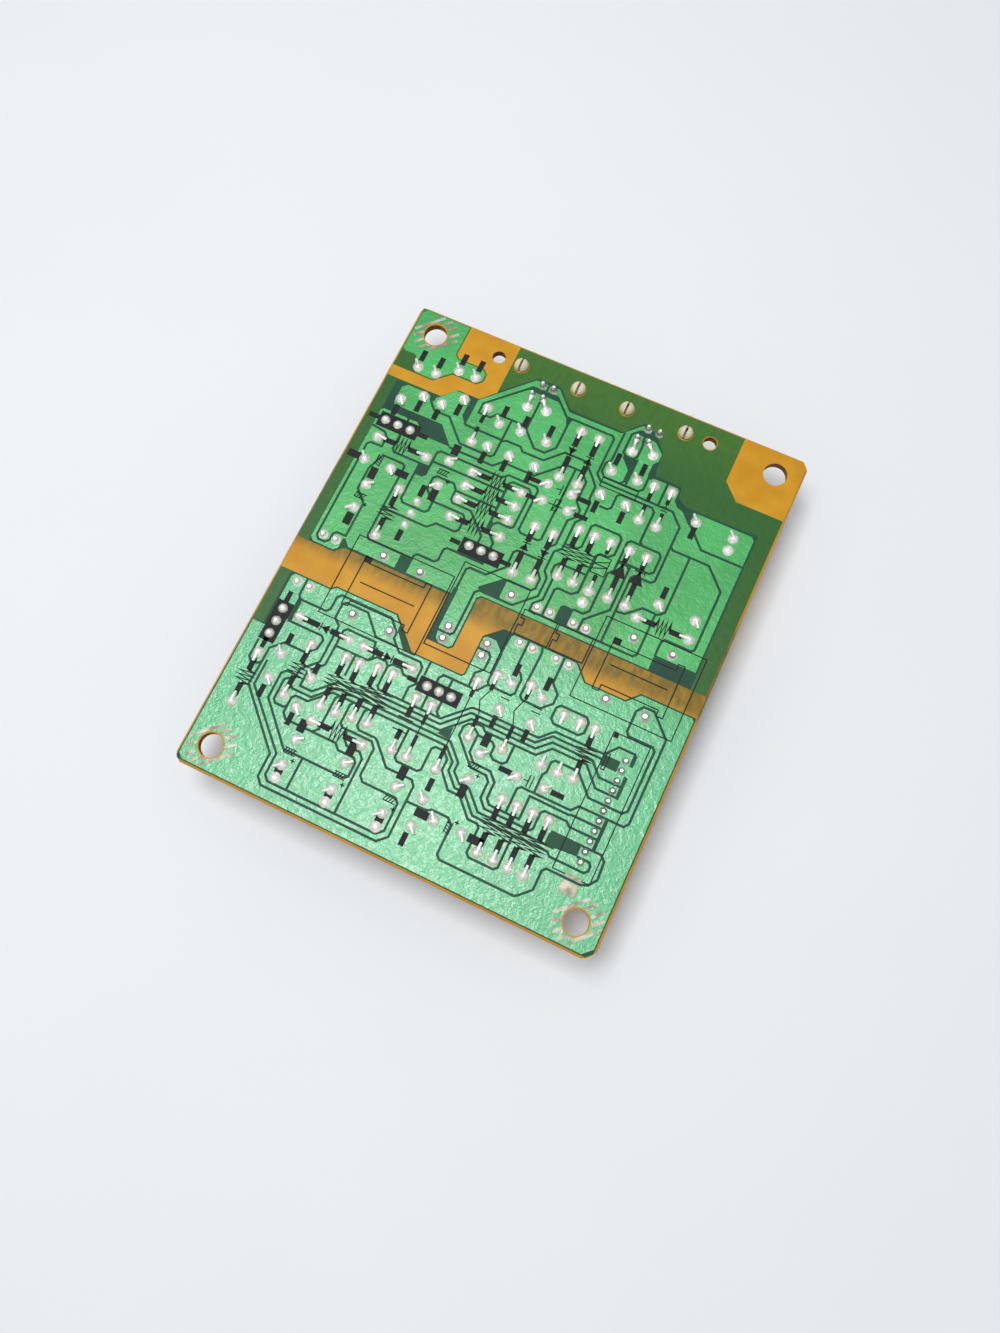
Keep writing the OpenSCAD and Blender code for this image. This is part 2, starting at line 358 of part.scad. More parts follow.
// Areas of bare laminate without foil or mask.
bare_windows = [
    [[10.95, 104], [22.1, 104], [22.1, 92.0], [19.4, 89.2], [14.8, 89.25], [12.0, 86.6],
        [-1, 86.6], [-1, 89.05], [9.0, 89.05], [12.1, 91.9], [17.4, 91.9], [18.5, 93.0],
        [18.5, 94.7], [17.4, 95.7], [11.8, 95.7], [10.95, 96.4]],
    [[70.9, 104], [85, 104], [85, 90.0], [74.3, 90.0], [70.9, 93.3]],
    [[-1, 48.1], [7.9, 48.1], [8.9, 49.2], [9.7, 49.6], [32.0, 49.6], [32.0, 40.0],
        [36.7, 39.95], [37.4, 40.6], [37.4, 51.1], [38.1, 51.75], [85, 51.85], [85, 47.3],
        [72.9, 47.3], [70.7, 45.0], [62.7, 45.0], [59.9, 47.9], [44.6, 47.9], [41.5, 45.0],
        [41.5, 36.9], [41.0, 36.5], [30.7, 36.5], [27.2, 40.0], [25.0, 42.05],
        [11.8, 42.05], [10.9, 41.25], [-1, 41.25]]
];
// Tinned stripes of the foil at three mounting corners, each from one end to the other.
stripes = [
    [[0.5, 98.2], [5.2, 102.9]], [[0.9, 96.7], [2.5, 98.3]], [[5.4, 101.2], [7.0, 102.8]],
    [[1.7, 95.4], [3.1, 96.8]], [[7.0, 100.7], [8.3, 101.9]], [[3.0, 94.4], [4.8, 96.1]],
    [[7.8, 99.1], [9.3, 100.7]], [[5.1, 94.9], [9.7, 99.1]],
    [[0.5, 4.6], [5.6, 9.6]], [[0.7, 2.9], [2.2, 4.1]], [[5.3, 7.5], [7.2, 9.0]],
    [[1.6, 1.4], [2.8, 2.5]], [[6.7, 7.0], [8.5, 8.1]], [[2.8, 0.7], [4.5, 2.1]],
    [[7.5, 5.3], [9.3, 7.0]], [[4.6, 0.6], [9.6, 5.2]],
    [[74.5, 4.6], [79.7, 9.6]], [[74.9, 2.9], [76.5, 4.5]], [[79.4, 7.6], [81.3, 9.3]],
    [[75.9, 1.6], [77.2, 2.9]], [[81.1, 6.7], [82.7, 8.4]], [[77.1, 0.8], [78.8, 2.4]],
    [[81.7, 5.4], [83.4, 7.1]], [[78.8, 0.7], [83.4, 5.3]]
];
thief_pads = [[73.8, 11.3, 3.1, 0.7], [73.8, 8.3, 3.1, 2.4]];
corner_cut = [
    [1.2, -score_lip - 0.1], [board_w - 1.9, -score_lip - 0.1], [board_w - 0.6, 0.25],
    [board_w + score_lip + 0.1, 1.9], [board_w + score_lip + 0.1, board_l - 1.4],
    [board_w - 1.3, board_l + score_lip + 0.1], [1.1, board_l + score_lip + 0.1],
    [0.15, board_l - 0.1], [-score_lip - 0.1, board_l - 1.0], [-score_lip - 0.1, 1.3]
];

// --- placing ---------------------------------------------------------------

module at_board() translate([-x_mid, -y_mid, stand_h + board_t]) children();
// Height grows away from the board on the component side.
module under() at_board() translate([0, 0, -board_t]) mirror([0, 0, 1]) children();
// Local +x runs from the first lead to the second, with the origin halfway.
module between(r)
    translate([(r[0] + r[2]) / 2, (r[1] + r[3]) / 2, 0])
        rotate([0, 0, heading([r[0], r[1]], [r[2], r[3]])]) children();

function pitch_of(r) = norm([r[2] - r[0], r[3] - r[1]]);
function unit(v) = v / norm(v);
function left_of(v) = [-v[1], v[0]];
function side_at(p, i) =
    i == 0 ? left_of(unit(p[1] - p[0]))
    : i == len(p) - 1 ? left_of(unit(p[i] - p[i - 1]))
    : let (a = left_of(unit(p[i] - p[i - 1])), b = left_of(unit(p[i + 1] - p[i])), m = unit(a + b))
        m / max(0.5, m * a);
function ribbon(p, w) = concat(
    [for (i = [0:len(p) - 1]) p[i] + side_at(p, i) * w / 2],
    [for (i = [len(p) - 1:-1:0]) p[i] - side_at(p, i) * w / 2]
);

// --- laminate and foil -------------------------------------------------------

function edge_profile(w) = [
    [0, 0], [-score_lip, -0.45], [-score_lip, -1.15], [0, -board_t],
    [w, -board_t], [w + score_lip, -1.15], [w + score_lip, -0.45], [w, 0]
];

module drill(at, d, top, deep)
    for (p = at) translate([p[0], p[1], top - deep]) cylinder(h = deep + 1, d = d);

module laminate() color("peru") at_board() difference() {
    intersection() {
        translate([0, board_l + 2, 0]) rotate([90, 0, 0])
            linear_extrude(height = board_l + 4) polygon(edge_profile(board_w));
        translate([-2, 0, 0]) rotate([90, 0, 90])
            linear_extrude(height = board_w + 4) polygon(edge_profile(board_l));
        translate([0, 0, -board_t - 1]) linear_extrude(height = board_t + 2) polygon(corner_cut);
    }
    drill(mount_holes, mount_hole_d, 0, board_t + 1);
    drill(locating_holes, locating_hole_d, 0, board_t + 1);
    drill(lead_holes, lead_hole_d, 0, board_t + 1);
    for (j = [jack_1, jack_2]) for (s = [-1, 1])
        translate([j[0] + s * peg_pitch / 2, j[1], -board_t - 1]) cylinder(h = board_t + 2, d = 2.6);
}

module foil() difference() {
    union() {
        polygon(corner_pour);
        polygon(upper_pour);
        polygon(lower_pour);
    }
    for (c = clearings) polygon(c);
    for (g = upper_gaps) polygon(ribbon(g, land_gap));
    for (g = lower_gaps) polygon(ribbon(g, land_gap));
}

module round_cuts(at, d) for (p = at) translate([p[0], p[1]]) circle(d = d);

module copper_lands() color("darkseagreen") at_board()
    linear_extrude(height = copper_t) difference() {
        foil();
        round_cuts(lead_holes, lead_hole_d);
        round_cuts(mount_holes, mount_hole_d + 0.6);
    }

module mask_lands() color("mediumseagreen") at_board() translate([0, 0, copper_t])
    linear_extrude(height = mask_t) difference() {
        foil();
        round_cuts(concat(two_lead_holes, spare_pads), 2.26);
        round_cuts(transistor_pin_at, 1.98);
        round_cuts(opto_pin_at, 2.0);
        round_cuts(jack_pin_at, 1.72);
        round_cuts(concat(wound_pin_at, relay_pin_at), 2.12);
        round_cuts(header_pin_at, 1.5);
        round_cuts(mount_holes, mount_hole_d + 0.6);
        for (s = stripes) polygon(ribbon(s, stripe_w));
        for (t = thief_pads) translate([t[0], t[1]]) square([t[2], t[3]]);
    }

module mask_dark() color("darkgreen") at_board()
    linear_extrude(height = mask_t) difference() {
        translate([0.05, 0.05]) square([board_w - 0.1, board_l - 0.1]);
        for (w = bare_windows) polygon(w);
        foil();
        polygon([[-1, -1], [1.6, -1], [-1, 1.6]]);
        polygon([[board_w + 1, -1], [board_w + 1, 2.2], [board_w - 2.2, -1]]);
        polygon([[-1, board_l + 1], [-1, board_l - 1.2], [1.2, board_l + 1]]);
        round_cuts(lead_holes, lead_hole_d);
        round_cuts(mount_holes, mount_hole_d + 0.5);
        round_cuts(locating_holes, locating_hole_d + 0.3);
        for (j = [jack_1, jack_2]) for (s = [-1, 1])
            translate([j[0] + s * peg_pitch / 2, j[1]]) circle(d = 3.2);
    }

module tinned_stripes() color("silver") at_board() translate([0, 0, copper_t]) {
    for (s = stripes) linear_extrude(height = 0.06) polygon(ribbon(s, stripe_w));
    for (t = thief_pads) translate([t[0], t[1], 0]) cube([t[2], t[3], 0.12]);
}

// --- solder joints -----------------------------------------------------------

// A closed dome over a lead that ends inside it.
function dome(r, h, bore) = [
    [0, lead_out], [bore, lead_out], [bore, mask_base], [r, mask_base], [r * 0.92, 0.17],
    [r * 0.78, h * 0.42], [r * 0.55, h * 0.73], [r * 0.27, h * 0.94], [0, h]
];
// An open collar round a pin that stands through it.
function collar(r, h, bore) = [
    [bore, mask_base], [r, mask_base], [r * 0.9, 0.14], [r * 0.72, h * 0.34],
    [r * 0.56, h * 0.6], [r * 0.42 + bore * 0.2, h * 0.86], [bore + 0.05, h], [bore, h]
];

module clinched(p, r, reach) translate([p[0], p[1], 0]) {
    rotate_extrude() polygon(dome(r, 0.82, lead_r));
    translate([0, 0, 0.62]) rotate([0, 0, p[2]]) rotate([0, 98, 0]) rotate([0, 0, 22.5])
        cylinder(h = reach + 0.2, r1 = 0.42, r2 = 0.29, $fn = 8);
}
module plain_dome(p, r, h, bore) translate([p[0], p[1], 0])
    rotate_extrude() polygon(dome(r, h, bore));
module through_collar(p, r, h, bore) translate([p[0], p[1], 0])
    rotate_extrude() polygon(collar(r, h, bore));

module joints_axial() color("silver") at_board()
    for (p = inward(concat(axial_rows, long_beads))) clinched(p, 1.08, 1.75);
module joints_radial() color("silver") at_board() {
    for (p = outward(concat(short_beads, discs, [varistor], small_boxes, line_boxes), 40))
        clinched(p, 1.12, 1.45);
    for (p = outward(cans, -55)) clinched(p, 1.12, 1.45);
    for (p = spare_pads) plain_dome(p, 1.1, 0.62, 0.2);
}
module joints_semis() color("silver") at_board() {
    for (p = transistor_pin_at) plain_dome(p, 0.98, 0.9, lead_r);
    for (p = opto_pin_at) through_collar(p, 0.95, 0.75, lead_r);
}
module joints_pins() color("silver") at_board() {
    for (p = jack_pin_at) through_collar(p, 0.85, 1.1, lead_r);
    for (p = wound_pin_at) through_collar(p, 1.05, 0.85, 0.4);
    for (p = relay_pin_at) through_collar(p, 1.05, 0.85, 0.4);
    for (p = header_pin_at) through_collar(p, 0.74, 0.95, 0.25);
}

// --- leads -------------------------------------------------------------------

// A wire that comes straight up from a drilled hole to height h.
module straight_lead(p, h, r = lead_r, out = lead_out)
    translate([p[0], p[1], -board_t - out]) cylinder(h = board_t + out + h, r = r);

// A wire that leaves the hole, turns a quarter circle and runs inward to a body.
module bent_lead(x, side, reach, h, bend) translate([x, 0, 0]) {
    translate([0, 0, -board_t - lead_out]) cylinder(h = board_t + lead_out + h - bend, r = lead_r);
    rotate([0, 0, side > 0 ? 180 : 0]) {
        translate([bend, 0, h - bend]) rotate([90, 0, 0]) rotate([0, 0, 90])
            rotate_extrude(angle = 90) translate([bend, 0]) circle(r = lead_r);
        translate([bend, 0, h]) rotate([0, 90, 0]) cylinder(h = reach - bend, r = lead_r);
    }
}
module lead_pair(r, body, h, bend = 0.7) between(r) {
    half = pitch_of(r) / 2;
    bent_lead(-half, -1, half - body / 2, h, bend);
    bent_lead(half, 1, half - body / 2, h, bend);
}
module lying(h) translate([0, 0, h]) rotate([0, 90, 0]) children();

resistor_h = 1.7;
diode_h = 1.8;
glass_h = 1.5;
bead_h = 2.0;
tube_h = 2.4;

module resistor_body() rotate_extrude() polygon([
    [0, -3.2], [0.55, -3.2], [resistor_d * 0.43, -3.05], [resistor_d / 2, -2.7],
    [resistor_d / 2, -2.1], [resistor_d * 0.42, -1.7], [resistor_d * 0.42, 1.7],
    [resistor_d / 2, 2.1], [resistor_d / 2, 2.7], [resistor_d * 0.43, 3.05], [0.55, 3.2], [0, 3.2]
]);
module resistor_bodies() color("tan") under()
    for (r = resistors) between(r) lying(resistor_h) resistor_body();
module resistor_leads() color("lightgray") under()
    for (r = resistors) lead_pair(r, 6.4, resistor_h);

module rectifier_bodies() color("dimgray") under() for (r = rectifiers) between(r) lying(diode_h)
    rotate_extrude() polygon([
        [0, -2.6], [diode_d * 0.4, -2.6], [diode_d / 2, -2.3], [diode_d / 2, 1.3],
        [diode_d / 2 - 0.04, 1.3], [diode_d / 2 - 0.04, 2.1], [diode_d / 2, 2.1],
        [diode_d / 2, 2.3], [diode_d * 0.4, 2.6], [0, 2.6]
    ]);
module rectifier_bands() color("gainsboro") under() for (r = rectifiers) between(r) lying(diode_h)
    rotate_extrude() translate([diode_d / 2 - 0.04, 1.3]) square([0.05, 0.8]);
module glass_diodes() color("orangered") under()
    for (r = glass_diode_rows) between(r) lying(glass_h) rotate_extrude() polygon([
        [0, -2.0], [0.6, -2.0], [0.9, -1.65], [0.92, 1.65], [0.6, 2.0], [0, 2.0]
    ]);
module diode_leads() color("lightgray") under() {
    for (r = rectifiers) lead_pair(r, 5.2, diode_h);
    for (r = glass_diode_rows) lead_pair(r, 4.0, glass_h);
    lead_pair(surge_tube, 6.4, tube_h);
}
module surge_absorber() color("whitesmoke") under() between(surge_tube) lying(tube_h)
    rotate_extrude() polygon([
        [0, -3.2], [1.9, -3.2], [2.0, -3.1], [2.0, -2.4], [1.85, -2.3], [1.85, 2.3],
        [2.0, 2.4], [2.0, 3.1], [1.9, 3.2], [0, 3.2]
    ]);
// A bare wire link lying close to the board.
module jumper_wires() color("lightgray") under() for (r = jumpers) between(r) {
    half = pitch_of(r) / 2;
    bent_lead(-half, -1, half, 0.9, 0.5);
    bent_lead(half, 1, half, 0.9, 0.5);
}
module ferrite_beads() color("dimgray") under() {
    for (r = long_beads) between(r) lying(bead_h) bead(5.0);
    for (r = short_beads) between(r) lying(bead_h) bead(3.4);
}
module bead(l) rotate_extrude() polygon([
    [0, -l / 2], [bead_d / 2 - 0.3, -l / 2], [bead_d / 2, -l / 2 + 0.3],
    [bead_d / 2, l / 2 - 0.3], [bead_d / 2 - 0.3, l / 2], [0, l / 2]
]);
module bead_leads() color("lightgray") under() {
    for (r = long_beads) lead_pair(r, 5.0, bead_h);
    for (r = short_beads) lead_pair(r, 3.4, bead_h, 0.5);
}

// --- upright two-lead parts ----------------------------------------------------

disc_foot = 1.6;
// A coated ceramic disc standing on edge, with a short coated stub at each lead.
module standing_disc(r) between(r) {
    d = r[4];
    t = r[5];
    translate([0, 0, disc_foot + d / 2]) rotate([90, 0, 0]) rotate_extrude() polygon([
        [0, -t / 2], [d * 0.36, -t / 2], [d * 0.45, -t * 0.38], [d * 0.5, -t * 0.14],
        [d * 0.5, t * 0.14], [d * 0.45, t * 0.38], [d * 0.36, t / 2], [0, t / 2]
    ]);
}
module disc_stubs(r) {
    d = r[4];
    pitch = pitch_of(r);
    low = disc_foot + d / 2 - sqrt(max(0.01, d * d / 4 - pitch * pitch / 4)) + 0.5;
    for (p = lead_pairs([r])) translate([p[0], p[1], 0.9]) cylinder(h = low - 0.9, r = 0.62);
}
module ceramic_discs() color("chocolate") under() for (r = discs) {
    standing_disc(r);
    disc_stubs(r);
}
module varistor_disc() color("royalblue") under() {
    standing_disc(varistor);
    disc_stubs(varistor);
}
module disc_leads() color("lightgray") under()
    for (p = lead_pairs(concat(discs, [varistor]))) straight_lead(p, 0.9);

film_foot = 0.4;
module film_box(r) between(r) {
    l = pitch_of(r) + 2.0;
    difference() {
        translate([-l / 2, -r[4] / 2, 0]) cube([l, r[4], r[5]]);
        translate([-l / 2 + 0.7, -r[4] / 2 - 1, -1]) cube([l - 1.4, r[4] + 2, 1 + film_foot]);
        for (s = [-1, 1]) translate([s * pitch_of(r) / 2, 0, -1]) cylinder(h = 1 + film_foot, r = 0.7);
        for (sx = [-1, 1]) translate([sx * l / 2, 0, r[5]]) rotate([0, 45, 0])
            cube([0.5, r[4] + 2, 0.5], center = true);
        for (sy = [-1, 1]) translate([0, sy * r[4] / 2, r[5]]) rotate([45, 0, 0])
            cube([l + 2, 0.5, 0.5], center = true);
    }
}
module film_capacitors() color("goldenrod") under() for (r = small_boxes) film_box(r);
module line_capacitors() color("gold") under() for (r = line_boxes) film_box(r);
module film_leads() color("lightgray") under()
    for (p = lead_pairs(concat(small_boxes, line_boxes))) straight_lead(p, film_foot);

can_h = stand_h - 0.5;
bung_h = 1.2;
function can_top(c) = c[4] > 3.8 ? stand_h - 0.06 : c[4] * 2.9;
module in_cans() for (c = cans) between(c) {
    $r = c[4];
    $top = can_top(c);
    children();
}
module electrolytic_bungs() color("dimgray") under() in_cans() difference() {
    translate([0, 0, 0.3]) cylinder(h = bung_h, r = $r - 0.35);
    translate([-$r, -0.35, -0.1]) cube([2 * $r, 0.7, 0.6]);
}
module electrolytic_cans() color("silver") under() in_cans() rotate_extrude() polygon([
    [0, 0.3 + bung_h], [$r - 0.35, 0.3 + bung_h], [$r - 0.35, 0.3], [$r - 0.1, 0.3],
    [$r - 0.1, 1.3], [$r - 0.33, 1.6], [$r - 0.33, 2.0], [$r - 0.1, 2.3],
    [$r - 0.1, $top - 0.6], [$r - 0.28, $top - 0.2], [$r - 0.7, $top], [$r - 1.0, $top - 0.12],
    [0, $top - 0.12]
]);
module electrolytic_sleeves() color("midnightblue") under() in_cans() rotate_extrude() polygon([
    [$r - 0.1, 0.3], [$r, 0.3], [$r, 1.35], [$r - 0.2, 1.65], [$r - 0.2, 1.95], [$r, 2.25],
    [$r, $top - 0.55], [$r - 0.2, $top - 0.1], [$r - 0.62, $top + 0.06],
    [$r - 0.7, $top], [$r - 0.28, $top - 0.2], [$r - 0.1, $top - 0.6],
    [$r - 0.1, 2.3], [$r - 0.33, 2.0], [$r - 0.33, 1.6], [$r - 0.1, 1.3]
]);
// The can's leads stand at the drilled pitch and enter the rubber bung.
module electrolytic_leads() color("lightgray") under() for (c = cans) between(c) {
    half = pitch_of(c) / 2;
    inner = min(half, c[4] - 1.1);
    for (s = [-1, 1]) {
        translate([s * half, 0, -board_t - lead_out])
            cylinder(h = board_t + lead_out + (inner < half ? 0.3 : 0.5), r = lead_r);
        if (inner < half) translate([s * inner, 0, 0]) cylinder(h = 0.5, r = lead_r);
        if (inner < half) translate([min(s * inner, s * half), -0.2, -0.0])
            cube([half - inner, 0.4, 0.3]);
    }
}

// --- semiconductors ------------------------------------------------------------

body_foot = 2.4;
module transistor_bodies() color("dimgray") under() for (t = transistors)
    translate([t[0], t[1], body_foot]) rotate([0, 0, t[2]]) difference() {
        translate([0, 0.45, 0]) cylinder(h = 4.6, r = 2.3);
        translate([-3, -3.9, -1]) cube([6, 2.7, 7]);
    }
module rod(a, b, r) {
    d = b - a;
    translate(a) rotate([0, acos(d[2] / norm(d)), atan2(d[1], d[0])]) cylinder(h = norm(d), r = r);
}
module transistor_leads() color("lightgray") under() for (t = transistors)
    translate([t[0], t[1], 0]) rotate([0, 0, t[2]]) {
        straight_lead([0, 0], body_foot, 0.24);
        for (s = [-1, 1]) {
            straight_lead([s * t[3], 0], 0.7, 0.24);
            translate([s * t[3], 0, 0.7]) sphere(r = 0.27);
            rod([s * t[3], 0, 0.7], [s * 1.27, 0, 1.9], 0.24);
            translate([s * 1.27, 0, 1.9]) sphere(r = 0.27);
            translate([s * 1.27, 0, 1.9]) cylinder(h = body_foot - 1.9, r = 0.24);
        }
    }

opto_foot = 0.6;
module optocoupler_bodies() color("ivory") under() for (o = optos) translate([o[0], o[1], opto_foot])
    difference() {
        union() {
            translate([-2.3, -3.1, 0]) cube([4.6, 6.2, 1.75]);
            translate([-2.3, -3.1, 1.75]) rotate([90, 0, 90]) linear_extrude(height = 4.6)
                polygon([[0, 0], [6.2, 0], [5.95, 1.75], [0.25, 1.75]]);
        }
        translate([-1.5, -2.1, 3.4]) cylinder(h = 1, r = 0.45);
    }
module optocoupler_leads() color("lightgray") under() for (o = optos)
    for (sx = [-1, 1]) for (sy = [-1, 1]) translate([o[0] + sx * o[2] / 2, o[1], 0]) {
        translate([-0.6, sy > 0 ? 3.1 : -o[3] / 2 - 0.13, opto_foot + 1.62])
            cube([1.2, o[3] / 2 - 3.1 + 0.13, 0.26]);
        translate([-0.6, sy * o[3] / 2 - 0.13, 0.6]) cube([1.2, 0.26, opto_foot + 1.2]);
        translate([0, sy * o[3] / 2, -board_t - 0.95]) cylinder(h = board_t + 0.95 + 0.7, r = lead_r);
    }

// --- wound parts and relay --------------------------------------------------------

wind_w = 12.0;
wind_d = 9.4;
// A two-flange bobbin with a pin rail along each long side.
module bobbin(c, w, d) translate([c[0], c[1], 0]) difference() {
    union() {
        translate([-w / 2, -d / 2, 0.3]) cube([w, d, 1.9]);
        translate([-6.9, -d / 2 + 1.1, 10.1]) cube([13.8, d - 2.2, 0.9]);
        translate([-4.4, -3.4, 2.2]) cube([8.8, 6.8, 7.9]);
        for (sx = [-1, 1]) for (sy = [-1, 1])
            translate([sx * (w / 2 - 1), sy * (d / 2 - 1), 0]) cylinder(h = 0.3, r = 0.8);
    }
    translate([-3.6, -2.6, -1]) cube([7.2, 5.2, 14]);
    translate([-w / 2 - 1, -2.6, 0.25]) cube([w + 2, 5.2, 1.3]);
    for (s = [-1, 1]) translate([s * 8.95 - 1.25, -2.6, -1]) cube([2.5, 5.2, 14]);
    for (p = box_of_four([0, 0], wound_pins[0], wound_pins[1]))
        translate([p[0], p[1], -1]) cylinder(h = 2.6, r = 0.4);
}
// Laminated core: one centre leg inside the bobbin and a closed frame round the winding.
module laminated_core(c) translate([c[0], c[1], 0]) difference() {
    union() {
        translate([-10.2, -2.6, 0.25]) cube([20.4, 5.2, 1.3]);
        translate([-10.2, -2.6, 11]) cube([20.4, 5.2, stand_h - 11]);
        for (s = [-1, 1]) translate([s * 8.95 - 1.25, -2.6, 0.25]) cube([2.5, 5.2, stand_h - 0.25]);
        translate([-3.6, -2.6, 0.25]) cube([7.2, 5.2, stand_h - 0.25]);
    }
    for (i = [1:9]) translate([-11, -2.6 + i * 0.52, stand_h - 0.05]) cube([22, 0.04, 0.2]);
}
module winding(c) translate([c[0], c[1], 2.2]) difference() {
    union() {
        translate([-wind_w / 2, -wind_d / 2 + 1.5, 0]) cube([wind_w, wind_d - 3, 7.9]);
        translate([-wind_w / 2 + 1.5, -wind_d / 2, 0]) cube([wind_w - 3, wind_d, 7.9]);
        for (sx = [-1, 1]) for (sy = [-1, 1])
            translate([sx * (wind_w / 2 - 1.5), sy * (wind_d / 2 - 1.5), 0]) cylinder(h = 7.9, r = 1.5);
    }
    translate([-4.4, -3.4, -1]) cube([8.8, 6.8, 10]);
}
module t1_bobbin() color("dimgray") under() bobbin(t1_at, 20.8, 16.8);
module t2_bobbin() color("dimgray") under() bobbin(t2_at, 20.2, 16.4);
module t1_core() color("slategray") under() laminated_core(t1_at);
module t2_core() color("slategray") under() laminated_core(t2_at);
module t1_winding() color("khaki") under() winding(t1_at);
module t2_winding() color("khaki") under() winding(t2_at);
module transformer_pins() color("lightgray") under()
    for (p = wound_pin_at) straight_lead(p, 1.6, 0.4, 1.0);

relay_size = [13.4, 18.0, 10.8];
module relay_base() color("dimgray") under() translate([relay_at[0], relay_at[1], 0]) difference() {
    translate([-relay_size[0] / 2 + 0.7, -relay_size[1] / 2 + 0.7, 0.35])
        cube([relay_size[0] - 1.4, relay_size[1] - 1.4, 1.5]);
    for (p = relay_pin_at) translate([p[0] - relay_at[0], p[1] - relay_at[1], -1])
        cylinder(h = 2.4, r = 0.4);
}
module relay_case() color("black") under() translate([relay_at[0], relay_at[1], 0]) difference() {
    translate([-relay_size[0] / 2, -relay_size[1] / 2, 0.1]) cube(relay_size);
    translate([-relay_size[0] / 2 + 0.7, -relay_size[1] / 2 + 0.7, -1])
        cube([relay_size[0] - 1.4, relay_size[1] - 1.4, 2.85]);
    for (sx = [-1, 1]) translate([sx * relay_size[0] / 2, 0, relay_size[2] + 0.1])
        rotate([0, 45, 0]) cube([0.7, 30, 0.7], center = true);
    for (sy = [-1, 1]) translate([0, sy * relay_size[1] / 2, relay_size[2] + 0.1])
        rotate([45, 0, 0]) cube([30, 0.7, 0.7], center = true);
}
module relay_pins() color("lightgray") under() for (p = relay_pin_at) straight_lead(p, 1.4, 0.4, 1.0);

// --- modular jacks --------------------------------------------------------------

plug_w = 9.8;
plug_h = 6.8;
latch_w = 6.4;
// The mouth looks out over the jack edge of the board.
module jack_housing(c) {
    front = board_l + 0.2;
    translate([c[0], front, 0]) difference() {
        union() {
            translate([-jack_w / 2, -jack_d, 0]) cube([jack_w, jack_d, stand_h]);
            for (s = [-1, 1]) translate([s * 5.75 - 0.55, -0.6, 0.3]) cube([1.1, 1.25, 4.5]);
            for (s = [-1, 1]) translate([s * 5.75, 0.65, 0.3]) cylinder(h = 4.5, r = 0.55);
        }
        translate([-plug_w / 2, -jack_d + 2.6, 3.6]) cube([plug_w, jack_d + 2, plug_h]);
        translate([-latch_w / 2, -jack_d + 2.6, 1.7]) cube([latch_w, jack_d + 2, 2.0]);
        translate([-2.4, -jack_d + 1.0, 3.0]) cube([4.8, 1.7, 7.0]);
        for (s = [-1, 1]) translate([s * (jack_w / 2) - 0.5, -jack_d + 2, 4]) cube([1, 6, 4]);
        for (p = jack_pin_at) if (abs(p[0] - c[0]) < 6)
            translate([p[0] - c[0], p[1] - front, -1]) cylinder(h = 4.1, r = 0.35);
        for (p = jack_pin_at) if (abs(p[0] - c[0]) < 6)
            translate([p[0] - c[0] - 0.35, p[1] - front - 0.35, 2.4]) cube([0.7, 0.7, 6]);
    }
    for (s = [-1, 1]) translate([c[0] + s * peg_pitch / 2, c[1], 0]) split_peg();
}
// A sprung peg, slit down its middle, with a swollen head beyond the board.
module split_peg() difference() {
    rotate([180, 0, 0]) rotate_extrude() polygon([
        [0, 0], [1.25, 0], [1.25, board_t + 0.05], [1.42, board_t + 0.35],
        [1.4, board_t + 0.7], [1.15, board_t + 1.15], [0.75, board_t + 1.45], [0, board_t + 1.5]
    ]);
    translate([-0.24, -3, -board_t - 3]) cube([0.48, 6, board_t + 2.4]);
}
module jack_housing_1() color("ivory") under() jack_housing(jack_1);
module jack_housing_2() color("ivory") under() jack_housing(jack_2);
// Spring wires: up from the board, then slanting forward across the plug cavity.
module jack_contacts() color("gold") under() for (i = [0:len(jack_pin_at) - 1]) {
    p = jack_pin_at[i];
    c = i < 4 ? jack_1 : jack_2;
    lane = p[0];
    top = 5.4;
    straight_lead(p, top, lead_r - 0.02, 1.55);
    translate([lane, p[1], top]) sphere(r = lead_r - 0.02);
    rod([lane, p[1], top], [lane, p[1] + 3.4, top - 1.2], lead_r - 0.02);
    translate([lane, p[1] + 3.4, top - 1.2]) sphere(r = lead_r - 0.02);
}

// --- wire header ---------------------------------------------------------------

header_w = 7.2;
header_l = 27;
header_h = 8.6;
module header_shell() color("ivory") under() translate([75.0, 25.15, 0]) difference() {
    translate([-header_w / 2, -header_l / 2, 0]) cube([header_w, header_l, header_h]);
    translate([-header_w / 2 + 0.9, -header_l / 2 + 0.9, 1.8])
        cube([header_w - 1.8, header_l - 1.8, header_h]);
    for (s = [-1, 1]) translate([header_w / 2 - 1.5, s * 8.4 - 1.3, 4.2]) cube([2, 2.6, 6]);
    translate([-header_w / 2 - 0.5, -3.5, 5.6]) cube([2, 7, 5]);
    for (p = header_pin_at) translate([p[0] - 75.0, p[1] - 25.15, -1]) cylinder(h = 4, r = 0.25);
}
module header_pins() color("lightgray") under() for (p = header_pin_at)
    straight_lead(p, header_h - 1.6, 0.25, 1.15);

laminate();
copper_lands();
mask_dark();
mask_lands();
tinned_stripes();
joints_axial();
joints_radial();
joints_semis();
joints_pins();
jack_housing_1();
jack_housing_2();
jack_contacts();
header_shell();
header_pins();
t1_core();
t1_bobbin();
t1_winding();
t2_core();
t2_bobbin();
t2_winding();
transformer_pins();
relay_case();
relay_base();
relay_pins();
optocoupler_bodies();
optocoupler_leads();
transistor_bodies();
transistor_leads();
resistor_bodies();
resistor_leads();
rectifier_bodies();
rectifier_bands();
diode_leads();
glass_diodes();
jumper_wires();
surge_absorber();
ferrite_beads();
bead_leads();
ceramic_discs();
varistor_disc();
film_capacitors();
line_capacitors();
disc_leads();
film_leads();
electrolytic_cans();
electrolytic_sleeves();
electrolytic_bungs();
electrolytic_leads();
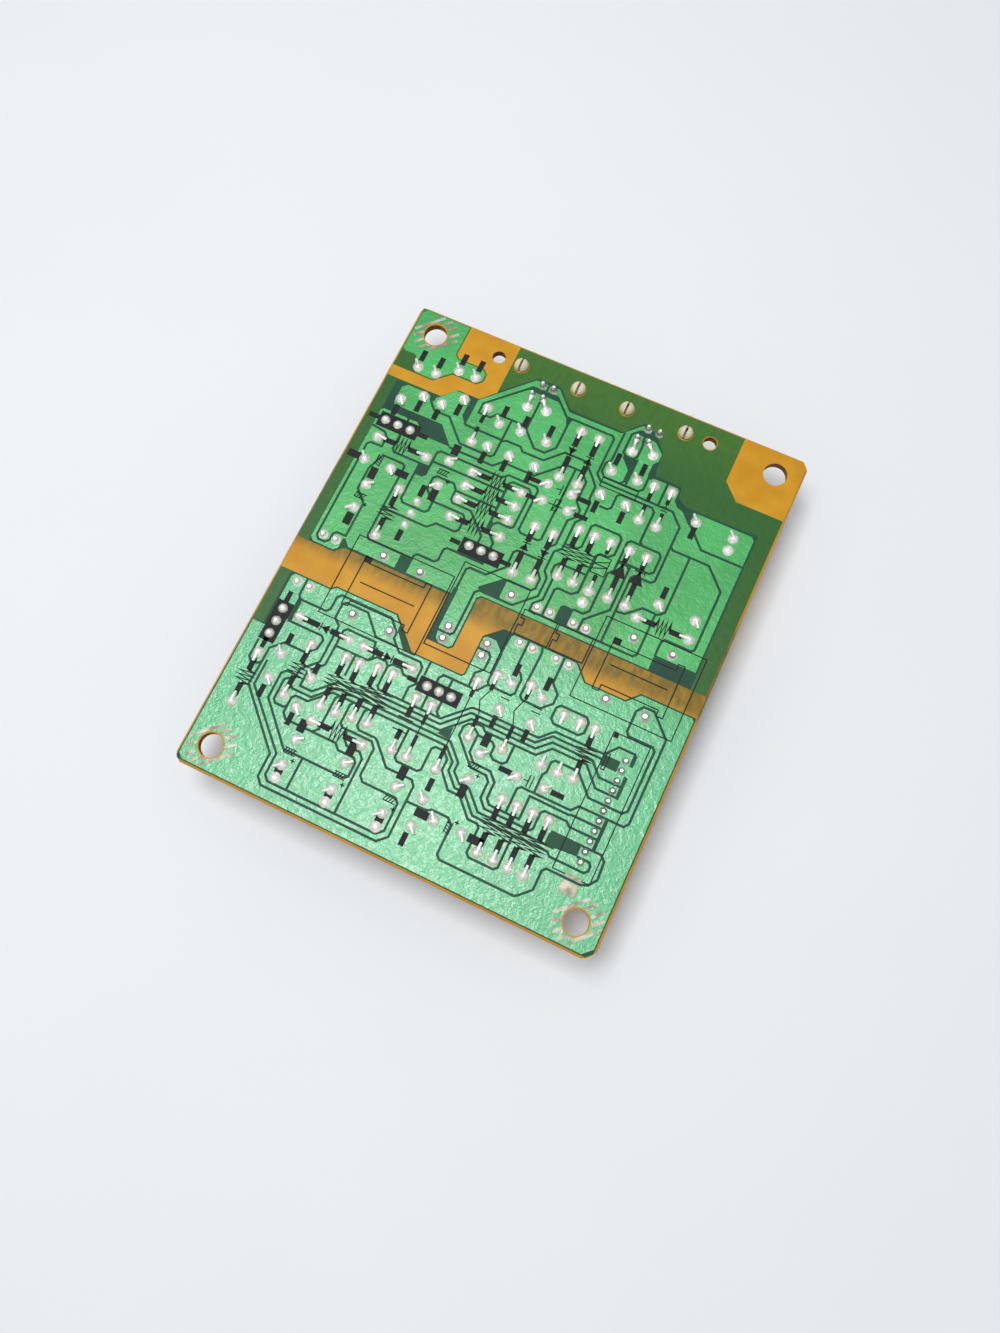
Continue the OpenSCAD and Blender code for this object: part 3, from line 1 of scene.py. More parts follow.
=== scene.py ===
"""Finishes, printing, small trim and stage for a line interface board lying solder side up.

The file is laid out as an add-on and is run as a script. Lengths given in millimetres on the
board are measured from the board's lower left corner, seen from the solder side.
"""

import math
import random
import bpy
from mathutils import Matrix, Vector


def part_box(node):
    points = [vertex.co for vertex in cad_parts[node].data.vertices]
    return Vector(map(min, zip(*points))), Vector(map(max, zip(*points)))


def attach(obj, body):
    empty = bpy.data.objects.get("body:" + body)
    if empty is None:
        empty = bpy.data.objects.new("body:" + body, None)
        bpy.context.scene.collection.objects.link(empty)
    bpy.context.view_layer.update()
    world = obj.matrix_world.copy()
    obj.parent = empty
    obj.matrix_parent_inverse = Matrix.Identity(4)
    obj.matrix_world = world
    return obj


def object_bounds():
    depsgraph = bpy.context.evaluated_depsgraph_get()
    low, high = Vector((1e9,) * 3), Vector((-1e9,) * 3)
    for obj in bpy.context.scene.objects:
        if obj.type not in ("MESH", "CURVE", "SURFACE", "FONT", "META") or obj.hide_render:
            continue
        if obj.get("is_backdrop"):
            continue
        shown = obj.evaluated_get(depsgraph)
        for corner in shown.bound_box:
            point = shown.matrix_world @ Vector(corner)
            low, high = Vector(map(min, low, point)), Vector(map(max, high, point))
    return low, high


bl_info = {
    "name": "Line interface board",
    "version": (1, 0, 0),
    "blender": (4, 5, 0),
    "location": "View3D > Sidebar > Line board",
    "description": "Dresses a single-sided circuit board: solder mask, printing, parts and stage",
    "category": "Object",
}

import bmesh
import bpy
from mathutils import Matrix, Vector

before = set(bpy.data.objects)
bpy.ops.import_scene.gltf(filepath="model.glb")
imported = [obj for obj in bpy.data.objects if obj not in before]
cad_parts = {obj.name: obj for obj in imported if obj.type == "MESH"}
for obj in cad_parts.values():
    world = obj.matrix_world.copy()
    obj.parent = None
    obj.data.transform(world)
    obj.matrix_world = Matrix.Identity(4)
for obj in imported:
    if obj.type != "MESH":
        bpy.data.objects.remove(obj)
CAD_BOX = [list(corner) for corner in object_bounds()]

MM = 0.001
BOARD_WIDTH = 84.0  # in mm
# The middle of the whole part in plan, from the board's lower left corner, in mm.
X_MID, Y_MID = BOARD_WIDTH / 2, 52.1
BOARD_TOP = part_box("laminate")[1].z
PRINT_FOOT = BOARD_TOP + 0.004 * MM
PRINT_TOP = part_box("mask_lands")[1].z + 0.02 * MM
STAND = 12.0  # height of the board's underside over the table, in mm


def on_board(x, y, z=BOARD_TOP):
    """A point given in board millimetres, in the row frame."""
    return Vector(((x - X_MID) * MM, (y - Y_MID) * MM, z))


def under_board(x, y, h):
    """A point h millimetres below the board's underside, in the row frame."""
    return Vector(((x - X_MID) * MM, (y - Y_MID) * MM, (STAND - h) * MM))


def hex_colour(code):
    """A colour written as six hex digits, as linear red, green, blue and alpha."""
    parts = [int(code[i : i + 2], 16) / 255 for i in (0, 2, 4)]
    return tuple(
        p / 12.92 if p <= 0.04045 else ((p + 0.055) / 1.055) ** 2.4 for p in parts
    ) + (1.0,)


# --- shader expressions ---------------------------------------------------------


class Term:
    """A shader socket in an expression. Each operator adds a Math node."""

    def __init__(self, finish, socket):
        self.finish, self.socket = finish, socket

    def _join(self, operation, first, second):
        return self.finish.add("ShaderNodeMath", {"operation": operation}, first, second)

    def __add__(self, other):
        return self._join("ADD", self, other)

    __radd__ = __add__

    def __sub__(self, other):
        return self._join("SUBTRACT", self, other)

    def __rsub__(self, other):
        return self._join("SUBTRACT", other, self)

    def __mul__(self, other):
        return self._join("MULTIPLY", self, other)

    def __truediv__(self, other):
        return self._join("DIVIDE", self, other)

    def __abs__(self):
        return self._join("ABSOLUTE", self, 0.0)

    def __round__(self):
        return self._join("ROUND", self, 0.0)

    def at_least(self, other):
        return self._join("MAXIMUM", self, other)


FINER_OCTAVES = 0.55  # how strongly each finer octave of noise counts


class Finish:
    """A material under construction: a Principled shader and the nodes that feed it."""

    def __init__(self, name, **fixed):
        self.material = bpy.data.materials.new(name)
        self.material.use_nodes = True
        self.tree = self.material.node_tree
        self.shader = self.tree.nodes["Principled BSDF"]
        for socket, value in fixed.items():
            self.shader.inputs[socket.replace("_", " ")].default_value = value
        metres = self.add("ShaderNodeTexCoord", {}, out="Object")
        self.place = self.scaled(metres, (1 / MM,) * 3)

    def feed(self, socket, value):
        """Links a term to a socket, or sets a fixed value or a colour in six hex digits."""
        if isinstance(value, Term):
            self.tree.links.new(value.socket, socket)
        else:
            socket.default_value = hex_colour(value) if isinstance(value, str) else value

    def add(self, kind, settings, *values, out=0, **named):
        """Adds a node. Its settings are set first, then its sockets by order or by name."""
        node = self.tree.nodes.new(kind)
        for key, value in settings.items():
            if key == "stops":
                ramp = node.color_ramp.elements
                while len(ramp) < len(value):
                    ramp.new(0.5)
                for element, (position, colour) in zip(ramp, value):
                    element.position, element.color = position, colour
            else:
                setattr(node, key, value)
        pairs = list(zip(node.inputs, values))
        pairs += [(node.inputs[key.replace("_", " ")], v) for key, v in named.items()]
        for socket, value in pairs:
            self.feed(socket, value)
        return Term(self, node.outputs[out])

    def scaled(self, vector, by):
        """A vector with each part multiplied by its own factor."""
        return self.add("ShaderNodeVectorMath", {"operation": "MULTIPLY"}, vector, by)

    def axis(self, letter):
        """One coordinate, in millimetres, of a place on the surface."""
        return self.add("ShaderNodeSeparateXYZ", {}, self.place, out=letter)

    def facing(self, letter):
        """One part of the surface normal."""
        normal = self.add("ShaderNodeNewGeometry", {}, out="Normal")
        return self.add("ShaderNodeSeparateXYZ", {}, normal, out=letter)

    def noise(self, per_mm, detail=3.0, stretch=(1, 1, 1), warp=0.0):
        """Cloudy noise from 0 to 1 with so many cells to the millimetre."""
        place = self.scaled(self.place, stretch)
        grain = {"Scale": per_mm, "Detail": detail, "Roughness": FINER_OCTAVES}
        return self.add("ShaderNodeTexNoise", {}, Vector=place, Distortion=warp, **grain)

    def cells(self, per_mm):
        """The distance to the nearest of some scattered points, so many to the millimetre."""
        kind, distance = "ShaderNodeTexVoronoi", "Distance"
        return self.add(kind, {}, Vector=self.place, Scale=per_mm, out=distance)

    def ramp(self, value, low, high):
        """A smooth step from 0 to 1 between two values."""
        smooth = {"interpolation_type": "SMOOTHSTEP"}
        return self.add("ShaderNodeMapRange", smooth, value, low, high)

    def mix(self, factor, first, second):
        """A colour between two colours."""
        node = self.tree.nodes.new("ShaderNodeMix")
        node.data_type = "RGBA"
        sockets = (node.inputs[0], node.inputs[6], node.inputs[7])
        for socket, value in zip(sockets, (factor, first, second)):
            self.feed(socket, value)
        return Term(self, node.outputs[2])

    def bump(self, height, depth_mm, strength=1.0):
        """A surface normal from a height of 0 to 1 that stands for depth_mm."""
        depth = depth_mm * MM
        return self.add("ShaderNodeBump", {}, Strength=strength, Distance=depth, Height=height)

    def wear(self, **varying):
        """Feeds the shader's sockets and returns the material."""
        for socket, value in varying.items():
            self.feed(self.shader.inputs[socket.replace("_", " ")], value)
        return self.material


def dress(material, *nodes):
    """Gives CAD nodes a finish in place of their plain one."""
    for name in nodes:
        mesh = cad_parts[name].data
        mesh.materials.clear()
        mesh.materials.append(material)


def new_piece(name, shape, material, smooth=False):
    """A new piece that rides on the board, made from a bmesh, which is then freed."""
    bmesh.ops.recalc_face_normals(shape, faces=shape.faces)
    mesh = bpy.data.meshes.new(name)
    shape.to_mesh(mesh)
    shape.free()
    mesh.materials.append(material)
    for face in mesh.polygons:
        face.use_smooth = smooth
    piece = bpy.data.objects.new(name, mesh)
    bpy.context.scene.collection.objects.link(piece)
    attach(piece, "root")
    return piece


# --- finishes --------------------------------------------------------------------


def laminate_finish():
    """Paper phenolic: mottled amber faces, darker snapped edges with layers in them."""
    f = Finish("paper_phenolic", Specular_IOR_Level=0.28)
    y = f.axis("Y")
    pulp = f.noise(0.9, 6, (1, 0.45, 1))
    flecks = f.noise(5.5, 3)
    cloud = f.noise(0.16, 2)
    band = f.ramp(y, -7.0, -3.0) * (1 - f.ramp(y, 12.0, 16.0))
    face = f.mix(f.ramp(cloud, 0.3, 0.7), "c58a0a", "d2981a")
    face = f.mix(band * 0.6 + band * f.ramp(pulp, 0.35, 0.65) * 0.3, face, "625810")
    face = f.mix(f.ramp(flecks, 0.55, 0.8) * 0.25, face, "8f5a1c")
    under = 1 - f.ramp(f.facing("Z"), -0.6, -0.2)
    face = f.mix(under, face, "b98545")
    layers = f.noise(7.0, 4, (0.12, 0.12, 2.2))
    chips = f.noise(1.6, 4)
    edge = f.mix(f.ramp(layers, 0.3, 0.7), "6e4420", "a87642")
    edge = f.mix(f.ramp(chips, 0.5, 0.7) * 0.5, edge, "c69a66")
    wall = 1 - f.ramp(abs(f.facing("Z")), 0.3, 0.7)
    ripple = f.noise(1.3, 3, (1, 0.6, 1)) * band
    height = ripple * 0.6 + flecks * 0.12 + chips * wall * 2.0 + layers * wall
    return f.wear(
        Base_Color=f.mix(wall, face, edge),
        Roughness=0.4 + wall * 0.4 + under * 0.12 + flecks * 0.08,
        Normal=f.bump(height, 0.12, 0.8),
    )


def wrinkle(f, amount):
    """The leathery ripple of cured mask, as a height from 0 to about 1."""
    coarse = f.noise(0.75, 3, warp=0.6)
    fine = f.noise(2.1, 3)
    return (coarse * 0.7 + fine * 0.3) * amount


def land_mask_finish(sizes):
    """Green mask over copper: bright, glossy and rippled, and paler towards the bottom of the
    board, where a painted glare is mixed into its colour.
    """
    f = Finish("mask_over_copper", Specular_IOR_Level=0.6)
    lower = 1 - f.ramp(f.axis("Y"), -14.0, 2.0)
    cloud = f.noise(0.07, 3)
    grain = f.noise(3.2, 3)
    flow = f.noise(0.9, 4, warp=0.7)
    colour = f.mix(f.ramp(cloud, 0.35, 0.65), sizes.mask_shade, sizes.mask_light)
    # Painted glare: towards the bottom of the board a pale green is mixed into the colour, standing
    # in for the lamp's reflection on the mask.
    colour = f.mix(lower * 0.6, colour, "68c496")
    colour = f.mix(f.ramp(grain, 0.45, 0.8) * 0.22, colour, "3f9a52")
    scuffs = f.noise(1.4, 2, (0.08, 2.4, 1), warp=1.2)
    scratch = f.ramp(scuffs, 0.68, 0.74) * f.ramp(cloud, 0.4, 0.6)
    frosted = lower * f.ramp(flow, 0.46, 0.56)
    colour = f.mix(scratch * 0.35, colour, "9fd8a6")
    return f.wear(
        Base_Color=colour,
        Roughness=0.34 - lower * 0.2 + frosted * 0.14 + grain * 0.08 + scratch * 0.2,
        Normal=f.bump(wrinkle(f, 1.0), 0.22, 1.0),
    )


# The upper edge of the lands, in board millimetres, from left to right.
LAND_TOPS = (
    (0, 86), (4, 86), (10.4, 86.2), (13.6, 89.2), (19.6, 89.4), (20.4, 90.2), (28.3, 98),
    (33.3, 98), (37, 94.4), (49, 94.2), (49.3, 95.2), (51.8, 97.8), (54.6, 96.6), (57.6, 93.2),
    (57.8, 88.2), (63.6, 88.2), (64, 85.8), (66, 84.6), (67.4, 84.7), (81, 84.7), (84, 84.7),
)  # fmt: skip

FULL_GREY = 104.0  # the height in mm that white stands for when a ramp holds those heights


def gap_mask_finish():
    """Green mask over bare laminate: dark in the clearances, where painted shade darkens the narrow
    gaps between the lands, and olive in the margins.
    """
    f = Finish("mask_over_laminate", Specular_IOR_Level=0.3)
    x, y = f.axis("X"), f.axis("Y")
    grey = [(top_y / FULL_GREY,) * 3 + (1,) for _, top_y in LAND_TOPS]
    stops = [(top_x / BOARD_WIDTH, level) for (top_x, _), level in zip(LAND_TOPS, grey)]
    across = x / BOARD_WIDTH + X_MID / BOARD_WIDTH
    edge = f.add("ShaderNodeValToRGB", {"stops": stops}, across) * FULL_GREY - Y_MID
    top_margin = f.ramp(y - edge, 0.1, 0.6)
    right_margin = f.ramp(x, 38.6, 39.0) * f.ramp(y, -6.0, -3.0)
    left_margin = (1 - f.ramp(x, -39.8, -39.4)) * f.ramp(y, -23.0, -22.0)
    margin = top_margin.at_least(right_margin).at_least(left_margin)
    pulp = f.noise(0.9, 5, (1, 0.5, 1))
    cloud = f.noise(0.08, 2)
    olive = f.mix(f.ramp(y, 36.0, 50.0), "265e1c", "3a6c1c")
    olive = f.mix(f.ramp(pulp, 0.4, 0.7) * 0.3, olive, "1f4c1c")
    # Painted shade: the clearances between the lands get this darker colour than the margins,
    # standing in for the shade in the narrow gaps.
    dark = f.mix(f.ramp(cloud, 0.35, 0.65), "0a3a2a", "124a30")
    return f.wear(
        Base_Color=f.mix(margin, dark, olive),
        Coat_Weight=margin * 0.1,
        Roughness=0.5 - margin * 0.15 + pulp * 0.1,
        Normal=f.bump(wrinkle(f, 0.8) + pulp * 0.2, 0.12, 0.7),
    )


def metal_finish(name, light, dark, rough, grain=3.0, depth=0.02, stretch=(1, 1, 1), **fixed):
    """Plain metal with tarnish and a fine drawn or cast surface."""
    f = Finish(name, Metallic=1.0, **fixed)
    tarnish = f.noise(0.6, 4, stretch)
    fine = f.noise(grain, 3, stretch)
    colour = f.mix(f.ramp(tarnish, 0.35, 0.7), light, dark)
    return f.wear(
        Base_Color=colour,
        Roughness=rough + tarnish * 0.18,
        Normal=f.bump(fine, depth, 0.6),
    )


def contact_finish():
    """Gold-flashed contact wire whose ends above the board are tinned by the soldering."""
    f = Finish("contact_plating", Metallic=1.0)
    tarnish = f.noise(0.9, 3)
    gold = f.mix(f.ramp(tarnish, 0.35, 0.7), "e2b95e", "c8963c")
    tinned = f.ramp(f.axis("Z"), STAND + 1.2, STAND + 1.6)
    return f.wear(
        Base_Color=f.mix(tinned, gold, "d8d6ce"),
        Roughness=0.2 + tarnish * 0.12 + tinned * 0.1,
        Normal=f.bump(f.noise(5.0, 2), 0.006, 0.6),
    )


def solder_finish(sizes):
    """Wave-soldered joints: bright tin with dull frosting and specks of burnt flux."""
    f = Finish("solder", Specular_IOR_Level=0.7)
    frost = f.noise(1.7, 4)
    pits = f.noise(4.5, 3)
    specks = f.ramp(pits, 0.62, 0.7) * f.ramp(frost, 0.45, 0.6)
    colour = f.mix(f.ramp(frost, 0.35, 0.65), sizes.solder, "d9d6cc")
    colour = f.mix(specks * 0.8, colour, "4a3a24")
    return f.wear(
        Base_Color=colour,
        Metallic=0.58 - specks * 0.5,
        Roughness=0.24 + f.ramp(frost, 0.3, 0.8) * 0.2 + specks * 0.3,
        Normal=f.bump(frost + pits * 0.4, 0.12, 0.8),
    )


def ink_finish(sizes):
    """Black legend ink, a little thin at its edges."""
    f = Finish("legend_ink", Specular_IOR_Level=0.25)
    screen = f.noise(6.0, 2)
    cloud = f.noise(0.4, 3)
    colour = f.mix(f.ramp(screen, 0.4, 0.75) * 0.5, sizes.legend, "1c2b20")
    return f.wear(
        Base_Color=colour,
        Roughness=0.5 + cloud * 0.2,
        Normal=f.bump(wrinkle(f, 1.0) + screen * 0.2, 0.1, 0.6),
    )


def moulded_finish(name, light, dark, rough=0.42, texture=0.02, clear=0.0, **fixed):
    """Moulded plastic: a fine spark-eroded grain, faint flow clouds and dusty patches."""
    f = Finish(name, Coat_Weight=clear, Coat_Roughness=0.2, **fixed)
    cloud = f.noise(0.13, 3)
    grain = f.noise(7.0, 3)
    dust = f.ramp(f.noise(0.5, 5), 0.5, 0.75)
    tint = f.mix(f.ramp(cloud, 0.3, 0.7), light, dark)
    tint = f.mix(dust * 0.045, tint, "a39d90")
    return f.wear(
        Base_Color=tint,
        Roughness=rough + grain * 0.12 + dust * 0.12,
        Normal=f.bump(grain, texture, 0.7),
    )


CORE_SHEET = 0.52  # thickness of one sheet, in mm
WIRE_PITCH = 0.16  # from turn to turn of the winding, in mm
TAPE_LAP = 6.2  # height of the tape's end over the table, in mm


def core_finish():
    """A stack of silicon steel sheets, varnished, with a touch of rust at the cut edges."""
    f = Finish("laminated_steel", Metallic=0.85)
    sheet = f.axis("Y") / CORE_SHEET
    line = abs(sheet - round(sheet)) * 2
    seam = f.ramp(line, 0.78, 0.95)
    varnish = f.noise(0.5, 4)
    rust = f.ramp(f.noise(1.2, 5), 0.58, 0.72)
    colour = f.mix(f.ramp(varnish, 0.35, 0.7), "6f6d69", "4b4844")
    colour = f.mix(rust * 0.5, colour, "7a4a2a")
    colour = f.mix(seam * 0.7, colour, "1e1c1a")
    return f.wear(
        Base_Color=colour,
        Roughness=0.36 + varnish * 0.2 + rust * 0.2,
        Normal=f.bump(1 - seam + varnish * 0.2, 0.04, 0.8),
    )


def tape_finish():
    """Yellow polyester tape round a winding: turns just show through it."""
    f = Finish("winding_tape", Coat_Weight=0.4, Coat_Roughness=0.15)
    turns = f.axis("Z") / WIRE_PITCH
    turn = abs(turns - round(turns)) * 2
    lap = f.ramp(abs(f.axis("Z") - TAPE_LAP), 0.0, 0.12)
    cloud = f.noise(0.25, 4)
    colour = f.mix(f.ramp(cloud, 0.3, 0.7), "d9a521", "e3b941")
    colour = f.mix(f.ramp(turn, 0.3, 0.9) * 0.3, colour, "9a6a1c")
    colour = f.mix((1 - lap) * 0.5, colour, "8c6218")
    return f.wear(
        Base_Color=colour,
        Roughness=0.3 + cloud * 0.12,
        Normal=f.bump(turn * 0.5 + lap * 0.5 + cloud * 0.4, 0.05, 0.7),
    )


def dipped_finish(name, light, dark, rough=0.35, lumps=0.12):
    """Dipped epoxy or lacquer: orange-peel skin with small runs and pinholes."""
    f = Finish(name, Coat_Weight=0.3, Coat_Roughness=0.2)
    peel = f.noise(1.1, 4)
    cloud = f.noise(0.3, 2)
    pins = 1 - f.ramp(f.cells(0.9), 0.03, 0.07)
    colour = f.mix(f.ramp(cloud, 0.3, 0.7), light, dark)
    colour = f.mix(pins * 0.6, colour, "20140c")
    return f.wear(
        Base_Color=colour,
        Roughness=rough + peel * 0.15,
        Normal=f.bump(peel - pins * 0.5, lumps, 0.7),
    )


def sleeve_finish(sizes):
    """Shrunk vinyl sleeve: glossy, with fine shrink lines round the can."""
    f = Finish("shrink_sleeve", Coat_Weight=0.6, Coat_Roughness=0.12)
    shrink = f.noise(1.5, 3, (0.3, 0.3, 2.0))
    cloud = f.noise(0.2, 2)
    colour = f.mix(f.ramp(cloud, 0.3, 0.7), sizes.sleeve, "10203f")
    return f.wear(
        Base_Color=colour,
        Roughness=0.28 + shrink * 0.12,
        Normal=f.bump(shrink, 0.05, 0.6),
    )


def glass_finish():
    """Small glass diode: a red-brown glass bead with its slugs faintly seen."""
    f = Finish("diode_glass", IOR=1.5, Coat_Weight=1.0, Coat_Roughness=0.04)
    bubbles = f.noise(2.4, 3)
    streak = f.noise(0.8, 2)
    colour = f.mix(f.ramp(streak, 0.35, 0.65), "b8451a", "d9702c")
    return f.wear(
        Base_Color=colour,
        Roughness=0.1 + bubbles * 0.12,
        Normal=f.bump(bubbles, 0.02, 0.5),
    )


def ferrite_finish():
    """Pressed ferrite: dark, matt and sparkling with tiny crystals."""
    f = Finish("ferrite")
    crystal = f.noise(9.0, 2)
    cloud = f.noise(0.6, 3)
    colour = f.mix(f.ramp(cloud, 0.3, 0.7), "2b2a2c", "3c3b3d")
    colour = f.mix(f.ramp(crystal, 0.7, 0.8), colour, "8d8d90")
    return f.wear(
        Base_Color=colour,
        Roughness=0.62 - f.ramp(crystal, 0.7, 0.8) * 0.35,
        Normal=f.bump(crystal + cloud, 0.03, 0.7),
    )


# --- settings --------------------------------------------------------------------


def colour_setting(name, description, code):
    return bpy.props.FloatVectorProperty(
        name=name,
        description=description,
        subtype="COLOR",
        size=4,
        min=0.0,
        max=1.0,
        default=hex_colour(code),
    )


class LineBoardFinishes(bpy.types.PropertyGroup):
    """Colours of the board's own finishes."""

    mask_light: colour_setting(
        "Mask, light", "Solder mask where it lies thin over copper", "40b45b"
    )
    mask_shade: colour_setting(
        "Mask, shade", "Solder mask where it lies thick over copper", "329f4c"
    )
    solder: colour_setting("Solder", "Bright solder", "f2f1ec")
    legend: colour_setting("Legend", "Printed symbols", "0a0f0c")
    sleeve: colour_setting("Sleeve", "Shrink sleeve of the electrolytic capacitors", "1a2c58")


def width_setting(name, description, width):
    return bpy.props.FloatProperty(
        name=name, description=description, default=width * MM, unit="LENGTH"
    )


class LineBoardPrinting(bpy.types.PropertyGroup):
    """Sizes of the printed symbols."""

    bar_width: width_setting("Bar width", "Width of the solid bars beside the pads", 1.15)
    line_width: width_setting("Line width", "Width of the outlines round the large parts", 0.22)
    zigzag_width: width_setting("Zigzag line", "Width of the line in the resistor symbols", 0.5)


class LineBoardStage(bpy.types.PropertyGroup):
    """Floor, lamp and camera."""

    floor_width: bpy.props.FloatProperty(
        name="Floor width", description="Side of the square floor", default=6.0, unit="LENGTH"
    )
    softbox_power: bpy.props.FloatProperty(
        name="Softbox power", description="Power of the large softbox, in watts", default=2.4
    )
    focal_length: bpy.props.FloatProperty(
        name="Focal length",
        description="Lens of the camera, in millimetres on a 36 mm long side",
        default=27.52,
    )


def finishes():
    return bpy.context.scene.line_board_finishes


# --- operators --------------------------------------------------------------------


class LINEBOARD_OT_board(bpy.types.Operator):
    """Finish the laminate, the foil and the solder mask"""

    bl_idname = "line_board.board"
    bl_label = "Board and mask"

    def execute(self, context):
        sizes = finishes()
        dress(laminate_finish(), "laminate")
        dress(land_mask_finish(sizes), "mask_lands")
        dress(gap_mask_finish(), "mask_dark")
        dress(metal_finish("wetted_foil", "b3ab92", "8d7a55", 0.4, depth=0.005), "copper_lands")
        return {"FINISHED"}


class LINEBOARD_OT_solder(bpy.types.Operator):
    """Finish the solder joints and the tinned stripes"""

    bl_idname = "line_board.solder"
    bl_label = "Solder"

    def execute(self, context):
        nodes = ("joints_axial", "joints_radial", "joints_semis", "joints_pins")
        dress(solder_finish(finishes()), *nodes)
        dull = metal_finish("worn_tin", "a8a598", "7d7a66", 0.5, Specular_IOR_Level=0.4)
        dress(dull, "tinned_stripes")
        return {"FINISHED"}


class LINEBOARD_OT_wires(bpy.types.Operator):
    """Finish the leads and pins of all parts"""

    bl_idname = "line_board.wires"
    bl_label = "Leads and pins"

    def execute(self, context):
        tinned = metal_finish("tinned_wire", "d4d3ce", "b3b0a8", 0.28, 4.0, 0.01)
        names = [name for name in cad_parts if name.endswith(("_leads", "_pins", "_wires"))]
        dress(tinned, *names)
        dress(contact_finish(), "jack_contacts")
        return {"FINISHED"}


class LINEBOARD_OT_sockets(bpy.types.Operator):
    """Finish the modular jacks and the wire header"""

    bl_idname = "line_board.sockets"
    bl_label = "Jacks and header"

    def execute(self, context):
        shell = moulded_finish("ivory_nylon", "e3dcc4", "d3c9ab", 0.4, Subsurface_Weight=0.05)
        dress(shell, "jack_housing_1", "jack_housing_2", "header_shell")
        return {"FINISHED"}


class LINEBOARD_OT_wound(bpy.types.Operator):
    """Finish the two transformers"""

    bl_idname = "line_board.wound"
    bl_label = "Transformers"

    def execute(self, context):
        dress(core_finish(), "t1_core", "t2_core")
        dress(tape_finish(), "t1_winding", "t2_winding")
        bobbin = moulded_finish("bobbin_nylon", "1d1d1f", "29282a", 0.4)
        dress(bobbin, "t1_bobbin", "t2_bobbin")
        return {"FINISHED"}


class LINEBOARD_OT_chips(bpy.types.Operator):
    """Finish the relay, the optocouplers and the transistors"""

    bl_idname = "line_board.chips"
    bl_label = "Relay and semiconductors"

    def execute(self, context):
        case = moulded_finish("relay_case", "18191b", "202124", 0.24, 0.008, 0.4)
        dress(case, "relay_case")
        epoxy = moulded_finish("moulded_epoxy", "222224", "2c2c2f", 0.5, 0.03)
        dress(epoxy, "relay_base", "transistor_bodies", "rectifier_bodies")
        white = moulded_finish("pale_epoxy", "dcd8cb", "c9c4b4", 0.5, 0.03)
        dress(white, "optocoupler_bodies")
        band = moulded_finish("band_ink", "c9c9c6", "b4b4b0", 0.4, 0.01)
        dress(band, "rectifier_bands")
        dress(glass_finish(), "glass_diodes")
        return {"FINISHED"}


class LINEBOARD_OT_passives(bpy.types.Operator):
    """Finish the resistors, beads, discs and film capacitors"""

    bl_idname = "line_board.passives"
    bl_label = "Resistors and capacitors"

    def execute(self, context):
        dress(dipped_finish("resistor_lacquer", "cdb083", "bd9c6c", 0.32, 0.05), "resistor_bodies")
        dress(dipped_finish("tube_ceramic", "e4e2da", "d4d1c6", 0.25, 0.04), "surge_absorber")
        dress(ferrite_finish(), "ferrite_beads")
        dress(dipped_finish("disc_phenolic", "a2561f", "8a4517", 0.45, 0.14), "ceramic_discs")
        dress(dipped_finish("varistor_epoxy", "2350a8", "1c4190", 0.35, 0.14), "varistor_disc")
        dress(dipped_finish("film_epoxy", "9c4a1e", "84390f", 0.3, 0.12), "film_capacitors")
        boxes = moulded_finish("line_box", "d9b437", "cda52b", 0.36, 0.02)
        dress(boxes, "line_capacitors")
        return {"FINISHED"}


class LINEBOARD_OT_cans(bpy.types.Operator):
    """Finish the electrolytic capacitors"""

    bl_idname = "line_board.cans"
    bl_label = "Electrolytic capacitors"

    def execute(self, context):
        can = metal_finish("can_aluminium", "d5d6d8", "bfc1c3", 0.26, 5.0, 0.006)
        dress(can, "electrolytic_cans")
        dress(sleeve_finish(finishes()), "electrolytic_sleeves")
        bung = moulded_finish("bung_rubber", "26262a", "323236", 0.7, 0.04)
        dress(bung, "electrolytic_bungs")
        return {"FINISHED"}


# --- printed symbols ---------------------------------------------------------------

# Two-lead parts, in board millimetres: x and y of one pad, then of the other.
RESISTORS = (
    (4.6, 73.4, 15.3, 73.5), (13.6, 65.1, 13.7, 54.5), (25.1, 74.4, 35.7, 74.4),
    (25.1, 71.2, 35.7, 71.2), (25.0, 68.1, 35.7, 68.1), (25.2, 64.2, 35.8, 64.3),
    (49.2, 72.2, 49.2, 61.8), (52.4, 72.2, 52.4, 61.8), (66.2, 60.5, 76.8, 60.6),
    (4.4, 24.2, 4.4, 13.8), (12.9, 29.8, 12.7, 19.0), (20.0, 30.4, 19.9, 20.0),
    (22.9, 30.4, 23.1, 20.1), (26.4, 31.1, 26.3, 20.5), (29.5, 31.2, 29.4, 20.6),
    (19.8, 16.8, 30.4, 16.8), (67.9, 37.7, 68.1, 27.6), (58.0, 18.8, 58.0, 8.2),
    (61.0, 18.8, 61.1, 8.2), (64.1, 18.9, 64.1, 8.1), (67.2, 18.9, 67.2, 8.1),
)  # fmt: skip
# Diodes: the pads as above, then how far along the arrow stands and which way it points.
DIODES = (
    (41.0, 91.3, 41.0, 80.6, 0.45, 1), (44.9, 91.2, 44.9, 80.6, 0.5, -1),
    (41.1, 69.2, 41.1, 58.8, 0.45, -1), (45.0, 69.2, 45.0, 59.0, 0.45, 1),
    (8.1, 33.7, 18.9, 33.6, 0.52, -1), (22.1, 33.6, 32.3, 33.6, 0.5, 1),
)  # fmt: skip
SURGE_DIODES = ((59.7, 72.3, 59.7, 61.7), (63.3, 72.3, 63.3, 61.7))
